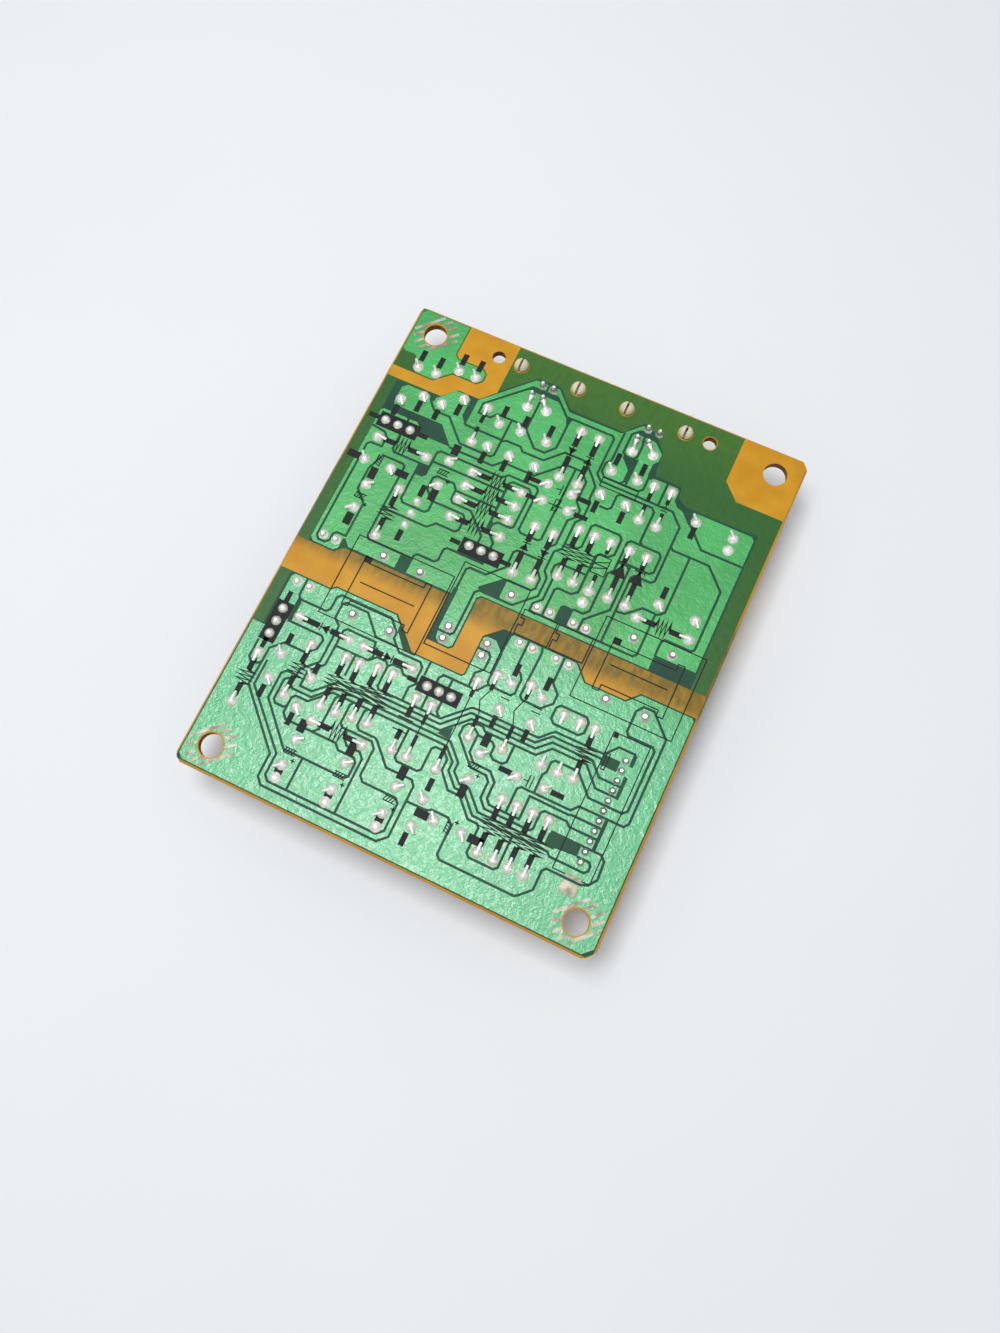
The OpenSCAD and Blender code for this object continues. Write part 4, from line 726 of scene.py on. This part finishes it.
# Bars that stand alone: middle, width and height.
BARS = (
    (4.9, 93.25, 1.1, 2.5), (8.9, 93.25, 1.1, 2.5), (12.9, 95.9, 1.1, 2.6),
    (16.6, 95.9, 1.1, 2.6), (16.6, 85.3, 1.1, 2.6), (9.0, 82.7, 1.1, 2.6),
    (13.0, 82.5, 1.1, 2.4), (5.1, 80.1, 1.1, 2.4), (25.4, 88.8, 1.05, 2.6),
    (30.1, 88.5, 1.05, 2.6), (35.5, 88.7, 1.05, 2.6), (25.5, 77.9, 1.05, 2.7),
    (30.1, 78.1, 1.05, 2.6), (35.5, 77.9, 1.05, 2.6), (37.0, 77.9, 2.4, 0.95),
    (20.1, 77.2, 1.6, 2.4), (1.8, 77.3, 2.2, 1.0), (12.75, 77.15, 2.1, 0.95),
    (37.7, 74.4, 2.0, 0.95), (49.9, 88.7, 1.05, 2.7), (55.4, 88.7, 1.05, 2.7),
    (49.9, 77.7, 1.05, 2.6), (55.4, 77.7, 1.05, 2.6), (47.4, 77.9, 2.8, 1.0),
    (48.3, 74.6, 2.8, 0.95), (69.1, 80.6, 1.05, 2.8), (69.1, 67.15, 1.05, 2.5),
    (21.9, 85.6, 0.8, 2.0), (21.9, 82.5, 0.8, 2.2), (58.7, 84.1, 0.8, 2.2),
    (58.7, 81.1, 0.8, 2.1), (62.4, 84.6, 0.75, 1.5), (62.4, 81.1, 0.75, 1.5),
    (2.0, 68.1, 2.7, 1.5), (12.6, 68.1, 2.7, 1.5), (7.3, 65.9, 1.55, 2.6),
    (7.3, 55.4, 1.6, 2.6), (17.9, 66.6, 1.1, 2.6), (17.9, 56.4, 1.1, 2.4),
    (20.2, 66.7, 1.55, 2.6), (28.4, 59.85, 2.1, 0.95), (39.2, 59.85, 2.1, 0.95),
    (55.9, 70.5, 0.8, 1.6), (55.9, 64.2, 0.8, 1.5), (8.6, 29.0, 1.05, 2.2),
    (8.5, 17.9, 1.05, 2.6), (16.0, 25.8, 1.05, 2.5), (15.9, 15.4, 1.05, 2.6),
    (18.7, 15.2, 1.6, 2.5), (29.0, 15.3, 1.6, 2.7), (39.5, 15.3, 1.6, 2.6),
    (18.7, 5.85, 1.6, 1.0), (29.1, 6.0, 1.6, 1.1), (39.5, 6.0, 1.6, 1.1),
    (50.7, 27.3, 1.5, 2.6), (50.8, 17.0, 1.5, 2.6), (56.3, 23.7, 2.6, 1.05),
    (66.7, 23.7, 2.6, 1.05), (45.0, 15.5, 1.05, 2.5), (45.0, 4.7, 1.05, 2.6),
    (46.0, 10.1, 2.7, 1.6), (56.8, 10.0, 2.9, 1.6), (50.2, 41.7, 1.05, 2.6),
    (56.6, 41.7, 1.1, 2.7), (50.4, 31.0, 0.95, 2.4), (56.8, 31.0, 0.95, 2.5),
    (47.4, 37.2, 0.75, 2.2), (54.0, 38.3, 0.75, 2.0), (47.4, 29.6, 0.75, 2.4),
    (54.1, 30.3, 0.75, 2.6), (44.5, 34.6, 0.75, 2.4), (44.5, 21.6, 0.75, 3.0),
    (35.5, 26.2, 1.0, 2.6), (38.7, 26.2, 0.7, 2.6), (35.6, 21.4, 1.0, 2.0),
    (38.8, 21.2, 0.7, 3.0), (4.5, 26.4, 0.9, 2.2), (4.4, 36.3, 1.0, 2.2),
    (33.2, 31.8, 2.0, 0.95),
)  # fmt: skip
# Solid blocks round three-lead parts: middle, width and height.
BLOCKS = (
    (7.3, 77.2, 8.8, 3.3), (33.9, 59.85, 8.7, 3.3), (4.55, 31.0, 3.3, 8.5), (38.8, 31.75, 8.7, 3.1),
)  # fmt: skip
# Plain outlines of parts: left, bottom, right and top.
BOXES = (
    (11.0, 36.1, 31.5, 53.3), (32.0, 39.0, 45.9, 56.9), (61.1, 41.4, 81.4, 58.4),
    (48.9, 82.2, 56.4, 84.1), (54.5, 65.2, 57.3, 69.0), (42.5, 73.6, 43.5, 76.0),
    (71.3, 11.6, 78.5, 38.7), (71.8, 31.4, 72.4, 34.5),
)  # fmt: skip
# Outlines with steps or notches: corners of a closed line.
OUTLINES = (
    ((14.2, 39.4), (15.5, 39.4), (15.5, 40.6), (27.1, 40.6), (27.1, 39.4), (28.3, 39.4),
     (28.3, 49.9), (27.1, 49.9), (27.1, 48.8), (15.5, 48.8), (15.5, 49.9), (14.2, 49.9)),
    ((64.2, 44.5), (65.5, 44.5), (65.5, 45.8), (77.0, 45.8), (77.0, 44.6), (78.3, 44.6),
     (78.3, 55.4), (77.0, 55.4), (77.0, 54.1), (65.5, 54.1), (65.5, 55.2), (64.2, 55.2)),
    ((46.5, 48.0), (53.3, 48.0), (53.3, 53.1), (46.5, 53.1), (46.5, 51.3), (47.3, 51.3),
     (47.3, 49.9), (46.5, 49.9)),
    ((53.7, 48.0), (60.6, 48.0), (60.6, 53.1), (53.7, 53.1), (53.7, 51.3), (54.5, 51.3),
     (54.5, 49.9), (53.7, 49.9)),
)  # fmt: skip
# Open thin lines.
LINES = (
    ((15.5, 44.7), (27.1, 44.7)), ((65.5, 50.0), (77.0, 50.0)),
    ((54.6, 66.0), (57.2, 67.0)), ((54.6, 67.1), (57.2, 67.1)), ((54.6, 67.2), (57.2, 68.3)),
    ((55.9, 69.0), (55.9, 69.8)), ((55.9, 64.9), (55.9, 65.2)),
    ((42.4, 73.2), (43.6, 76.4)), ((41.4, 74.7), (44.3, 74.7)),
    ((42.6, 77.0), (42.6, 79.2)), ((43.3, 77.0), (43.3, 79.2)), ((41.6, 78.1), (42.6, 78.1)),
    ((61.7, 82.4), (63.1, 82.4)), ((61.7, 83.2), (63.1, 83.2)), ((62.4, 83.2), (62.4, 84.0)),
    ((60.9, 22.6), (60.9, 25.0)), ((61.6, 22.6), (61.6, 25.0)), ((60.0, 23.7), (60.9, 23.7)),
    ((49.6, 35.8), (51.4, 35.8)), ((49.6, 36.7), (51.4, 36.7)),
    ((55.9, 35.8), (57.7, 35.8)), ((55.9, 36.7), (57.7, 36.7)),
    ((34.0, 24.6), (37.0, 24.6)), ((34.0, 22.1), (37.0, 22.1)), ((38.7, 24.9), (38.7, 22.6)),
    ((44.5, 33.4), (44.5, 23.0)), ((47.4, 36.1), (46.4, 33.6)), ((46.4, 33.6), (47.4, 31.0)),
    ((54.0, 37.3), (53.0, 34.4)), ((53.0, 34.4), (54.1, 31.6)),
)  # fmt: skip
# Polarity crosses: middle.
PLUS_SIGNS = (
    (21.6, 70.3), (9.0, 59.2), (20.2, 8.6), (30.5, 8.6), (40.9, 8.6), (52.5, 11.4), (52.2, 20.6),
)  # fmt: skip
# Hatched capacitor plates: middle, and turn in degrees.
HATCHES = (
    (20.0, 71.8, 0), (7.3, 60.6, 0), (7.2, 68.9, 90), (18.9, 10.0, 0), (29.3, 10.0, 0),
    (39.6, 10.0, 0), (51.4, 10.0, 90), (50.9, 22.0, 0),
)  # fmt: skip
# Solid squares that mark a first pin: middle and side.
DOT_CORNERS = ((14.8, 49.4, 1.3), (64.8, 54.6, 1.3), (71.9, 38.2, 0.9))
ARROW_TIP = 0.03  # half the width that an arrow head ends in, in mm


class Printing:
    """Thin printed strokes and solid shapes, gathered into one closed mesh."""

    def __init__(self):
        self.mesh = bmesh.new()

    def band(self, left, right):
        """A strip between two rows of points, in board millimetres, as a closed slab."""
        rows = []
        for pair in zip(left, right):
            places = [on_board(x, y, z) for z in (PRINT_FOOT, PRINT_TOP) for x, y in pair]
            rows.append([self.mesh.verts.new(place) for place in places])
        for a, b in zip(rows, rows[1:]):
            for i, j in ((0, 1), (1, 3), (3, 2), (2, 0)):
                self.mesh.faces.new((a[i], a[j], b[j], b[i]))
        for end in (rows[0], rows[-1]):
            self.mesh.faces.new((end[0], end[1], end[3], end[2]))

    def stroke(self, points, width):
        """A line of one width with mitred corners. Points are in board millimetres."""
        closed = points[0] == points[-1]
        runs = [(Vector(b) - Vector(a)).normalized() for a, b in zip(points, points[1:])]
        left, right = [], []
        for i, point in enumerate(points):
            before = runs[i - 1] if i else (runs[-1] if closed else runs[0])
            after = runs[i] if i < len(runs) else (runs[0] if closed else runs[-1])
            turn = (before + after).normalized()
            side = Vector((-turn.y, turn.x))
            reach = width / 2 / max(0.35, side.dot(Vector((-before.y, before.x))))
            left.append(Vector(point) + side * reach)
            right.append(Vector(point) - side * reach)
        self.band(left, right)

    def rectangle(self, x, y, width, height):
        self.stroke(((x, y - height / 2), (x, y + height / 2)), width)

    def triangle(self, tip, base, half):
        """A solid arrow head from the middle of its base to its tip."""
        tip, base = Vector(tip), Vector(base)
        run = (tip - base).normalized()
        side = Vector((-run.y, run.x))
        left = (base + side * half, tip + side * ARROW_TIP)
        right = (base - side * half, tip - side * ARROW_TIP)
        self.band(left, right)

    def piece(self, name, material):
        return new_piece(name, self.mesh, material)


def along(row, share, out=0.0):
    """A point some share of the way between a row's two pads, moved sideways by out."""
    a, b = Vector(row[:2]), Vector(row[2:4])
    run = (b - a).normalized()
    return a.lerp(b, share) + Vector((-run.y, run.x)) * out


BAR_FROM, BAR_TO = 0.13, 0.37  # where a resistor's bar lies between a pad and its zigzag
TEETH, FIRST_TOOTH, TOOTH_STEP = 7, 0.39, 0.037
TOOTH_REACH = 1.45  # mm
ARROW_HALF, SURGE_ARROW_HALF = 0.95, 1.5  # half the base of an arrow head, in mm


def resistor_symbol(ink, row, bar, zig):
    """A zigzag between two bars."""
    for start, end in ((BAR_FROM, BAR_TO), (1 - BAR_TO, 1 - BAR_FROM)):
        ink.stroke((along(row, start), along(row, end)), bar * 0.95)
    teeth = [
        along(row, FIRST_TOOTH + i * TOOTH_STEP, TOOTH_REACH * (-1) ** i) for i in range(TEETH)
    ]
    ink.stroke([along(row, BAR_TO)] + teeth + [along(row, 1 - BAR_TO)], zig)


def diode_symbol(ink, row, bar, wire):
    """An arrow head against a line, between two bars."""
    middle, way = row[4], row[5]
    ink.stroke((along(row, 0.07), along(row, middle - 0.11)), bar)
    ink.stroke((along(row, middle + 0.11), along(row, 0.93)), bar)
    ink.stroke((along(row, middle - 0.12), along(row, middle + 0.12)), wire)
    tip, base = along(row, middle + 0.06 * way), along(row, middle - 0.07 * way)
    ink.triangle(tip, base, ARROW_HALF)
    ink.stroke([along(row, middle + 0.08 * way, out) for out in (-0.85, 0.85)], wire)


def surge_symbol(ink, row, bar, wire):
    """A large arrow head against a line with bent ends."""
    ink.stroke((along(row, 0.1), along(row, 0.26)), bar * 0.9)
    ink.stroke((along(row, 0.24), along(row, 0.36)), 0.5)
    ink.triangle(along(row, 0.3), along(row, 0.56), SURGE_ARROW_HALF)
    ink.stroke((along(row, 0.55), along(row, 0.85)), bar * 0.9)
    bend = ((0.27, -1.1), (0.31, -0.95), (0.31, 0.95), (0.35, 1.1))
    ink.stroke([along(row, share, out) for share, out in bend], wire)


class LINEBOARD_OT_symbols(bpy.types.Operator):
    """Print the resistor, diode and surge diode symbols"""

    bl_idname = "line_board.symbols"
    bl_label = "Part symbols"

    def execute(self, context):
        sizes = context.scene.line_board_printing
        bar, wire, zig = (v / MM for v in (sizes.bar_width, sizes.line_width, sizes.zigzag_width))
        ink = Printing()
        for row in RESISTORS:
            resistor_symbol(ink, row, bar, zig)
        for row in DIODES:
            diode_symbol(ink, row, bar, wire)
        for row in SURGE_DIODES:
            surge_symbol(ink, row, bar, wire)
        ink.piece("symbols_print", ink_finish(finishes()))
        return {"FINISHED"}


PLUS_HALF = 0.45  # half a polarity cross, in mm
PLATE_HALF, PLATE_GAP_HALF = 1.2, 0.5  # half a plate and half the gap between two, in mm
HATCH_STEP, HATCH_SLANT = 0.55, 0.45  # mm


def plate_mark(ink, x, y, turn, line):
    """Two plates of a capacitor with four slanting strokes between them."""
    spin = Matrix.Rotation(math.radians(turn), 2)
    gap = PLATE_GAP_HALF
    strokes = [((-PLATE_HALF, level), (PLATE_HALF, level)) for level in (-gap, gap)]
    for i in range(4):
        foot = -PLATE_HALF + i * HATCH_STEP
        strokes.append(((foot, -gap), (foot + HATCH_SLANT, gap)))
    for ends in strokes:
        ink.stroke([spin @ Vector(end) + Vector((x, y)) for end in ends], line)


class LINEBOARD_OT_marks(bpy.types.Operator):
    """Print the bars, blocks, outlines, plate marks and polarity marks"""

    bl_idname = "line_board.marks"
    bl_label = "Bars and outlines"

    def execute(self, context):
        line = context.scene.line_board_printing.line_width / MM
        bars = Printing()
        for x, y, width, height in BARS + BLOCKS:
            bars.rectangle(x, y, width, height)
        bars.piece("bars_print", ink_finish(finishes()))
        fine = Printing()
        boxes = tuple(((x0, y0), (x1, y0), (x1, y1), (x0, y1)) for x0, y0, x1, y1 in BOXES)
        for corners in boxes + OUTLINES:
            fine.stroke(corners + corners[:1], line)
        for points in LINES:
            fine.stroke(points, line)
        for x, y in PLUS_SIGNS:
            fine.stroke(((x - PLUS_HALF, y), (x + PLUS_HALF, y)), line)
            fine.stroke(((x, y - PLUS_HALF), (x, y + PLUS_HALF)), line)
        for x, y, turn in HATCHES:
            plate_mark(fine, x, y, turn, line * 0.9)
        for x, y, size in DOT_CORNERS:
            fine.rectangle(x, y, size, size)
        fine.piece("outlines_print", ink_finish(finishes()))
        return {"FINISHED"}


# --- small trim under the board ------------------------------------------------------

RESISTOR_HEIGHT = 1.7  # from the board's underside to a resistor's axis, in mm
RESISTOR_RADIUS, WAIST_RADIUS = 1.15, 0.966  # at a resistor's ends and middle, in mm
# Electrolytic capacitors, in board millimetres: the two pads, then the can's radius.
CANS = (
    (4.4, 68.0, 10.0, 68.3, 3.85), (7.2, 63.2, 7.2, 58.0, 3.15), (19.9, 74.6, 20.1, 69.0, 3.6),
    (50.7, 24.5, 50.9, 19.4, 3.15), (18.8, 12.4, 18.7, 7.2, 4.0), (29.1, 12.4, 29.1, 7.1, 4.0),
    (39.5, 12.5, 39.5, 7.3, 3.9), (48.5, 10.0, 54.0, 10.1, 4.0),
)  # fmt: skip


def can_height(radius):
    """How far a can reaches below the board, in mm: the wide ones nearly meet the table."""
    return STAND - 0.06 if radius > 3.8 else radius * 2.9


def join_loops(mesh, a, b):
    """Closes the wall between two loops with the same number of corners."""
    for i in range(len(a)):
        j = (i + 1) % len(a)
        mesh.faces.new((a[i], a[j], b[j], b[i]))


def ring(mesh, middle, run, radius, width, skin=0.02 * MM, steps=40):
    """A closed painted ring round an axis through middle. All lengths in metres."""
    run = run.normalized()
    up = Vector((0, 0, 1)) if abs(run.z) < 0.9 else Vector((1, 0, 0))
    side = run.cross(up).normalized()
    lift = side.cross(run)
    loops = []
    for out, end in ((-skin, -0.5), (skin, -0.5), (skin, 0.5), (-skin, 0.5)):
        loop = []
        for i in range(steps):
            turn = math.tau * i / steps
            spoke = side * math.cos(turn) + lift * math.sin(turn)
            loop.append(mesh.verts.new(middle + spoke * (radius + out) + run * width * end))
        loops.append(loop)
    for a, b in zip(loops, loops[1:] + loops[:1]):
        join_loops(mesh, a, b)


def shell_patch(mesh, middle, radius, low, high, start, sweep, steps=12, skin=0.012):
    """A closed curved patch on the side of a standing can. Angles in radians, rest in mm."""
    rows = []
    for i in range(steps + 1):
        turn = start + sweep * i / steps
        spoke = Vector((math.cos(turn), math.sin(turn)))
        row = []
        for out, h in ((-skin, low), (skin * 2, low), (skin * 2, high), (-skin, high)):
            place = Vector(middle) + spoke * (radius + out)
            row.append(mesh.verts.new(under_board(place.x, place.y, h)))
        rows.append(row)
    for a, b in zip(rows, rows[1:]):
        join_loops(mesh, a, b)
    mesh.faces.new(rows[0])
    mesh.faces.new(rows[-1])


# Paints of the resistor bands, each light and dark.
BAND_SHADES = {
    "brown": ("5a2f17", "4a2512"),
    "black": ("17161a", "201f22"),
    "red": ("b3231c", "9a1d18"),
    "orange": ("d9691c", "c55c17"),
    "yellow": ("e0bb27", "cda81e"),
    "violet": ("57348a", "4b2c79"),
    "gold": ("b5893a", "9c742e"),
}
BAND_PLACES = (-2.4, -1.15, -0.3, 1.1)  # along the body from its middle, in mm
BAND_WIDTH = 0.5  # mm
WAIST_HALF = 2.0  # half the length of a resistor's narrow middle, in mm


class LINEBOARD_OT_bands(bpy.types.Operator):
    """Paint the colour bands round the resistors"""

    bl_idname = "line_board.bands"
    bl_label = "Resistor bands"

    def execute(self, context):
        dice = random.Random(11)
        paint = {name: bmesh.new() for name in BAND_SHADES}
        digits = [name for name in BAND_SHADES if name != "gold"]
        for row in RESISTORS:
            a, b = (under_board(*along(row, share), RESISTOR_HEIGHT) for share in (0, 1))
            middle, run = (a + b) / 2, (b - a).normalized()
            colours = [dice.choice(digits) for _ in range(3)] + ["gold"]
            for colour, shift in zip(colours, BAND_PLACES):
                radius = RESISTOR_RADIUS if abs(shift) > WAIST_HALF else WAIST_RADIUS
                place = middle + run * shift * MM
                ring(paint[colour], place, run, radius * MM, BAND_WIDTH * MM)
        for name, mesh in paint.items():
            if not mesh.verts:
                mesh.free()
                continue
            light, dark = BAND_SHADES[name]
            finish = dipped_finish("band_" + name, light, dark, 0.34, 0.04)
            new_piece("bands_" + name, mesh, finish)
        return {"FINISHED"}


STRIPE_HALF = 0.38  # half the stripe's width round the can, in radians
STRIPE_FOOT, STRIPE_MARGIN = 2.6, 0.9  # from the board and from the can's end, in mm
DASH_FOOT, DASH_STEP, DASH_LENGTH, DASH_MARGIN = 3.1, 1.6, 0.9, 1.1  # mm
DASH_START, DASH_SWEEP = 0.3, 0.16  # from the stripe's edge and across, in radians
VENT_TURN, VENT_REACH = 0.4, 0.52  # radians, and share of the can's radius
VENT_HALF, VENT_SUNK = 0.09, 0.12  # half a score's width and its depth in the can's end, in mm


def sleeve_stripe(stripes, dashes, middle, radius, top, start):
    """The pale stripe down the negative side of a sleeve and its row of dark dashes."""
    end = top - STRIPE_MARGIN
    shell_patch(stripes, middle, radius, STRIPE_FOOT, end, start, 2 * STRIPE_HALF)
    for i in range(int((top - DASH_FOOT - DASH_MARGIN) / DASH_STEP)):
        low = DASH_FOOT + i * DASH_STEP
        high, edge = low + DASH_LENGTH, start + DASH_START
        shell_patch(dashes, middle, radius + 0.02, low, high, edge, DASH_SWEEP, 4)


def vent_score(vents, middle, radius, top, turn, lift):
    """One straight score across a can's end, as a thin closed slab."""
    arm = Vector((math.cos(turn), math.sin(turn))) * radius * VENT_REACH
    side = Vector((-arm.y, arm.x)).normalized() * VENT_HALF
    corners = (arm + side, arm - side, -arm - side, -arm + side)
    foot, head = (
        [vents.verts.new(under_board(*(middle + c), top - VENT_SUNK + h)) for c in corners]
        for h in (-0.01, lift)
    )
    vents.faces.new(foot)
    vents.faces.new(head)
    join_loops(vents, foot, head)


class LINEBOARD_OT_can_marks(bpy.types.Operator):
    """Print the polarity stripes on the sleeves and score the vents in the can tops"""

    bl_idname = "line_board.can_marks"
    bl_label = "Can stripes and vents"

    def execute(self, context):
        stripes, dashes, vents = bmesh.new(), bmesh.new(), bmesh.new()
        for can in CANS:
            first, second, radius = Vector(can[:2]), Vector(can[2:4]), can[4]
            middle, toward, top = (first + second) / 2, first - second, can_height(radius)
            start = math.atan2(toward.y, toward.x) - STRIPE_HALF
            sleeve_stripe(stripes, dashes, middle, radius, top, start)
            for turn, lift in ((VENT_TURN, 0.008), (VENT_TURN + math.pi / 2, 0.012)):
                vent_score(vents, middle, radius, top, turn, lift)
        pale = moulded_finish("stripe_print", "c9cdd2", "b5bac0", 0.35, 0.01)
        new_piece("sleeve_stripes", stripes, pale)
        dark = moulded_finish("stripe_bars", "14203c", "1a2748", 0.35, 0.01)
        new_piece("stripe_bars", dashes, dark)
        score = metal_finish("vent_score", "5c5e61", "46484b", 0.5, 5.0, 0.01)
        new_piece("vent_scores", vents, score)
        return {"FINISHED"}


# Solder that has run from a jack pin to the test pad beside it: two ends, board millimetres.
BRIDGES = (
    (28.85, 91.9, 28.7, 94.3), (32.6, 92.5, 31.3, 94.2), (51.8, 91.7, 51.6, 94.2),
    (55.7, 92.6, 54.2, 94.2),
)  # fmt: skip
RUN_STEPS = RUN_RIBS = 10
RUN_HALF_WIDTH, RUN_HEIGHT, RUN_RISE = 0.82, 0.62, 0.25  # mm
RUN_FOOT = 0.015  # height of a run's rim over the laminate, in mm


def solder_run(mesh, row):
    """One run of solder, wide at its ends and narrow between them, as a closed skin."""
    start, end = Vector(row[:2]), Vector(row[2:])
    run = (end - start).normalized()
    side = Vector((-run.y, run.x))
    rows = []
    for i in range(RUN_STEPS + 1):
        share = i / RUN_STEPS
        waist = 1 - 0.5 * math.sin(math.pi * share) ** 2
        height = (RUN_HEIGHT + RUN_RISE * share) * (0.45 + 0.55 * waist)
        middle, half = start.lerp(end, share), RUN_HALF_WIDTH * waist
        loop = []
        for k in range(RUN_RIBS + 1):
            turn = math.pi * k / RUN_RIBS
            place = middle + side * half * math.cos(turn)
            lift = RUN_FOOT + height * math.sin(turn) ** 0.8
            loop.append(mesh.verts.new(on_board(*place, BOARD_TOP + lift * MM)))
        rows.append(loop)
    for a, b in zip(rows, rows[1:]):
        join_loops(mesh, a, b)
    mesh.faces.new(rows[0])
    mesh.faces.new(rows[-1])


class LINEBOARD_OT_bridges(bpy.types.Operator):
    """Run solder from the jack pins to their test pads"""

    bl_idname = "line_board.bridges"
    bl_label = "Solder runs"

    def execute(self, context):
        mesh = bmesh.new()
        for row in BRIDGES:
            solder_run(mesh, row)
        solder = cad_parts["joints_pins"].data.materials[0]
        piece = new_piece("solder_runs", mesh, solder, smooth=True)
        rounding = piece.modifiers.new("round", "SUBSURF")
        rounding.levels = rounding.render_levels = 1
        return {"FINISHED"}


# --- stage -----------------------------------------------------------------------

CAMERA_PLACE = Vector((30.12, -51.75, 198.05)) * MM
CAMERA_TURN = tuple(math.radians(a) for a in (14.427, 1.62, 25.464))
CLIP_START, CLIP_END = 0.005, 20.0  # metres
SOFTBOX_PLACE, SOFTBOX_SIZE = (-0.10, 0.0, 0.62), (0.30, 0.24)  # metres
SKY_LIGHT, SKY_SEEN = 0.42, 0.9  # strength on matt surfaces, and as seen or mirrored
SKY_COLOUR = (0.96, 0.98, 1.0, 1.0)


def table_top(scene, half):
    """A square of plain white paper that the board lies on."""
    sheet = bmesh.new()
    ends = ((-half, -half), (half, -half), (half, half), (-half, half))
    sheet.faces.new([sheet.verts.new((x, y, 0)) for x, y in ends])
    mesh = bpy.data.meshes.new("table_top")
    sheet.to_mesh(mesh)
    sheet.free()
    table = bpy.data.objects.new("table_top", mesh)
    scene.collection.objects.link(table)
    paper = Finish("white_paper", Specular_IOR_Level=0.2)
    tint = paper.mix(paper.noise(0.02, 3), "eef2f6", "f2f5f8")
    mesh.materials.append(paper.wear(Base_Color=tint, Roughness=0.75))
    table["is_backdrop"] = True


def studio_sky(scene):
    """A pale sky that looks brighter than the light it gives."""
    scene.world = bpy.data.worlds.new("studio")
    scene.world.use_nodes = True
    tree = scene.world.node_tree
    sky = tree.nodes["Background"]
    rays = tree.nodes.new("ShaderNodeLightPath")
    shown = tree.nodes.new("ShaderNodeMath")
    shown.operation = "MAXIMUM"
    tree.links.new(rays.outputs["Is Camera Ray"], shown.inputs[0])
    tree.links.new(rays.outputs["Is Glossy Ray"], shown.inputs[1])
    level = tree.nodes.new("ShaderNodeMapRange")
    level.inputs["To Min"].default_value = SKY_LIGHT
    level.inputs["To Max"].default_value = SKY_SEEN
    tree.links.new(shown.outputs[0], level.inputs["Value"])
    tree.links.new(level.outputs[0], sky.inputs["Strength"])
    sky.inputs["Color"].default_value = SKY_COLOUR


def softbox(scene, power):
    """A rectangular area lamp that looks at the middle of the board."""
    light = bpy.data.lights.new("softbox", "AREA")
    light.shape = "RECTANGLE"
    light.size, light.size_y = SOFTBOX_SIZE
    light.energy = power
    lamp = bpy.data.objects.new("softbox", light)
    lamp.location = SOFTBOX_PLACE
    aim = Vector((0, 0, 0)) - Vector(SOFTBOX_PLACE)
    lamp.rotation_euler = aim.to_track_quat("-Z", "Y").to_euler()
    scene.collection.objects.link(lamp)


def board_camera(scene, focal_length):
    """The camera over the solder side."""
    lens = bpy.data.cameras.new("camera")
    lens.sensor_width, lens.sensor_fit = 36.0, "AUTO"
    lens.lens = focal_length
    lens.clip_start, lens.clip_end = CLIP_START, CLIP_END
    camera = bpy.data.objects.new("camera", lens)
    camera.location, camera.rotation_euler = CAMERA_PLACE, CAMERA_TURN
    scene.collection.objects.link(camera)
    scene.camera = camera


class LINEBOARD_OT_stage(bpy.types.Operator):
    """Build the pale floor, the lamp, the world and the camera"""

    bl_idname = "line_board.stage"
    bl_label = "Stage"

    def execute(self, context):
        scene, stage = context.scene, context.scene.line_board_stage
        table_top(scene, stage.floor_width / 2)
        studio_sky(scene)
        softbox(scene, stage.softbox_power)
        board_camera(scene, stage.focal_length)
        scene.view_settings.view_transform = "Standard"
        return {"FINISHED"}


# --- registration and run ----------------------------------------------------------

STEPS = (
    LINEBOARD_OT_board,
    LINEBOARD_OT_solder,
    LINEBOARD_OT_wires,
    LINEBOARD_OT_sockets,
    LINEBOARD_OT_wound,
    LINEBOARD_OT_chips,
    LINEBOARD_OT_passives,
    LINEBOARD_OT_cans,
    LINEBOARD_OT_symbols,
    LINEBOARD_OT_marks,
    LINEBOARD_OT_bands,
    LINEBOARD_OT_can_marks,
    LINEBOARD_OT_bridges,
    LINEBOARD_OT_stage,
)
SETTINGS = (
    ("line_board_finishes", LineBoardFinishes),
    ("line_board_printing", LineBoardPrinting),
    ("line_board_stage", LineBoardStage),
)


class LINEBOARD_PT_panel(bpy.types.Panel):
    """The board's settings and the steps that dress it"""

    bl_idname = "LINEBOARD_PT_panel"
    bl_label = "Line board"
    bl_space_type = "VIEW_3D"
    bl_region_type = "UI"
    bl_category = "Line board"

    def draw(self, context):
        for name, group in SETTINGS:
            box = self.layout.box()
            for setting in group.__annotations__:
                box.prop(getattr(context.scene, name), setting)
        for step in STEPS:
            self.layout.operator(step.bl_idname)


def register():
    for name, group in SETTINGS:
        bpy.utils.register_class(group)
        setattr(bpy.types.Scene, name, bpy.props.PointerProperty(type=group))
    for step in STEPS:
        bpy.utils.register_class(step)
    bpy.utils.register_class(LINEBOARD_PT_panel)


def unregister():
    bpy.utils.unregister_class(LINEBOARD_PT_panel)
    for step in reversed(STEPS):
        bpy.utils.unregister_class(step)
    for name, group in reversed(SETTINGS):
        delattr(bpy.types.Scene, name)
        bpy.utils.unregister_class(group)


def main():
    register()
    for step in STEPS:
        group, name = step.bl_idname.split(".")
        getattr(getattr(bpy.ops, group), name)()
    bpy.context.view_layer.update()
    shown = [list(corner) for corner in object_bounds()]
    {"cad": CAD_BOX, "shown": shown}


if __name__ == "__main__":
    main()
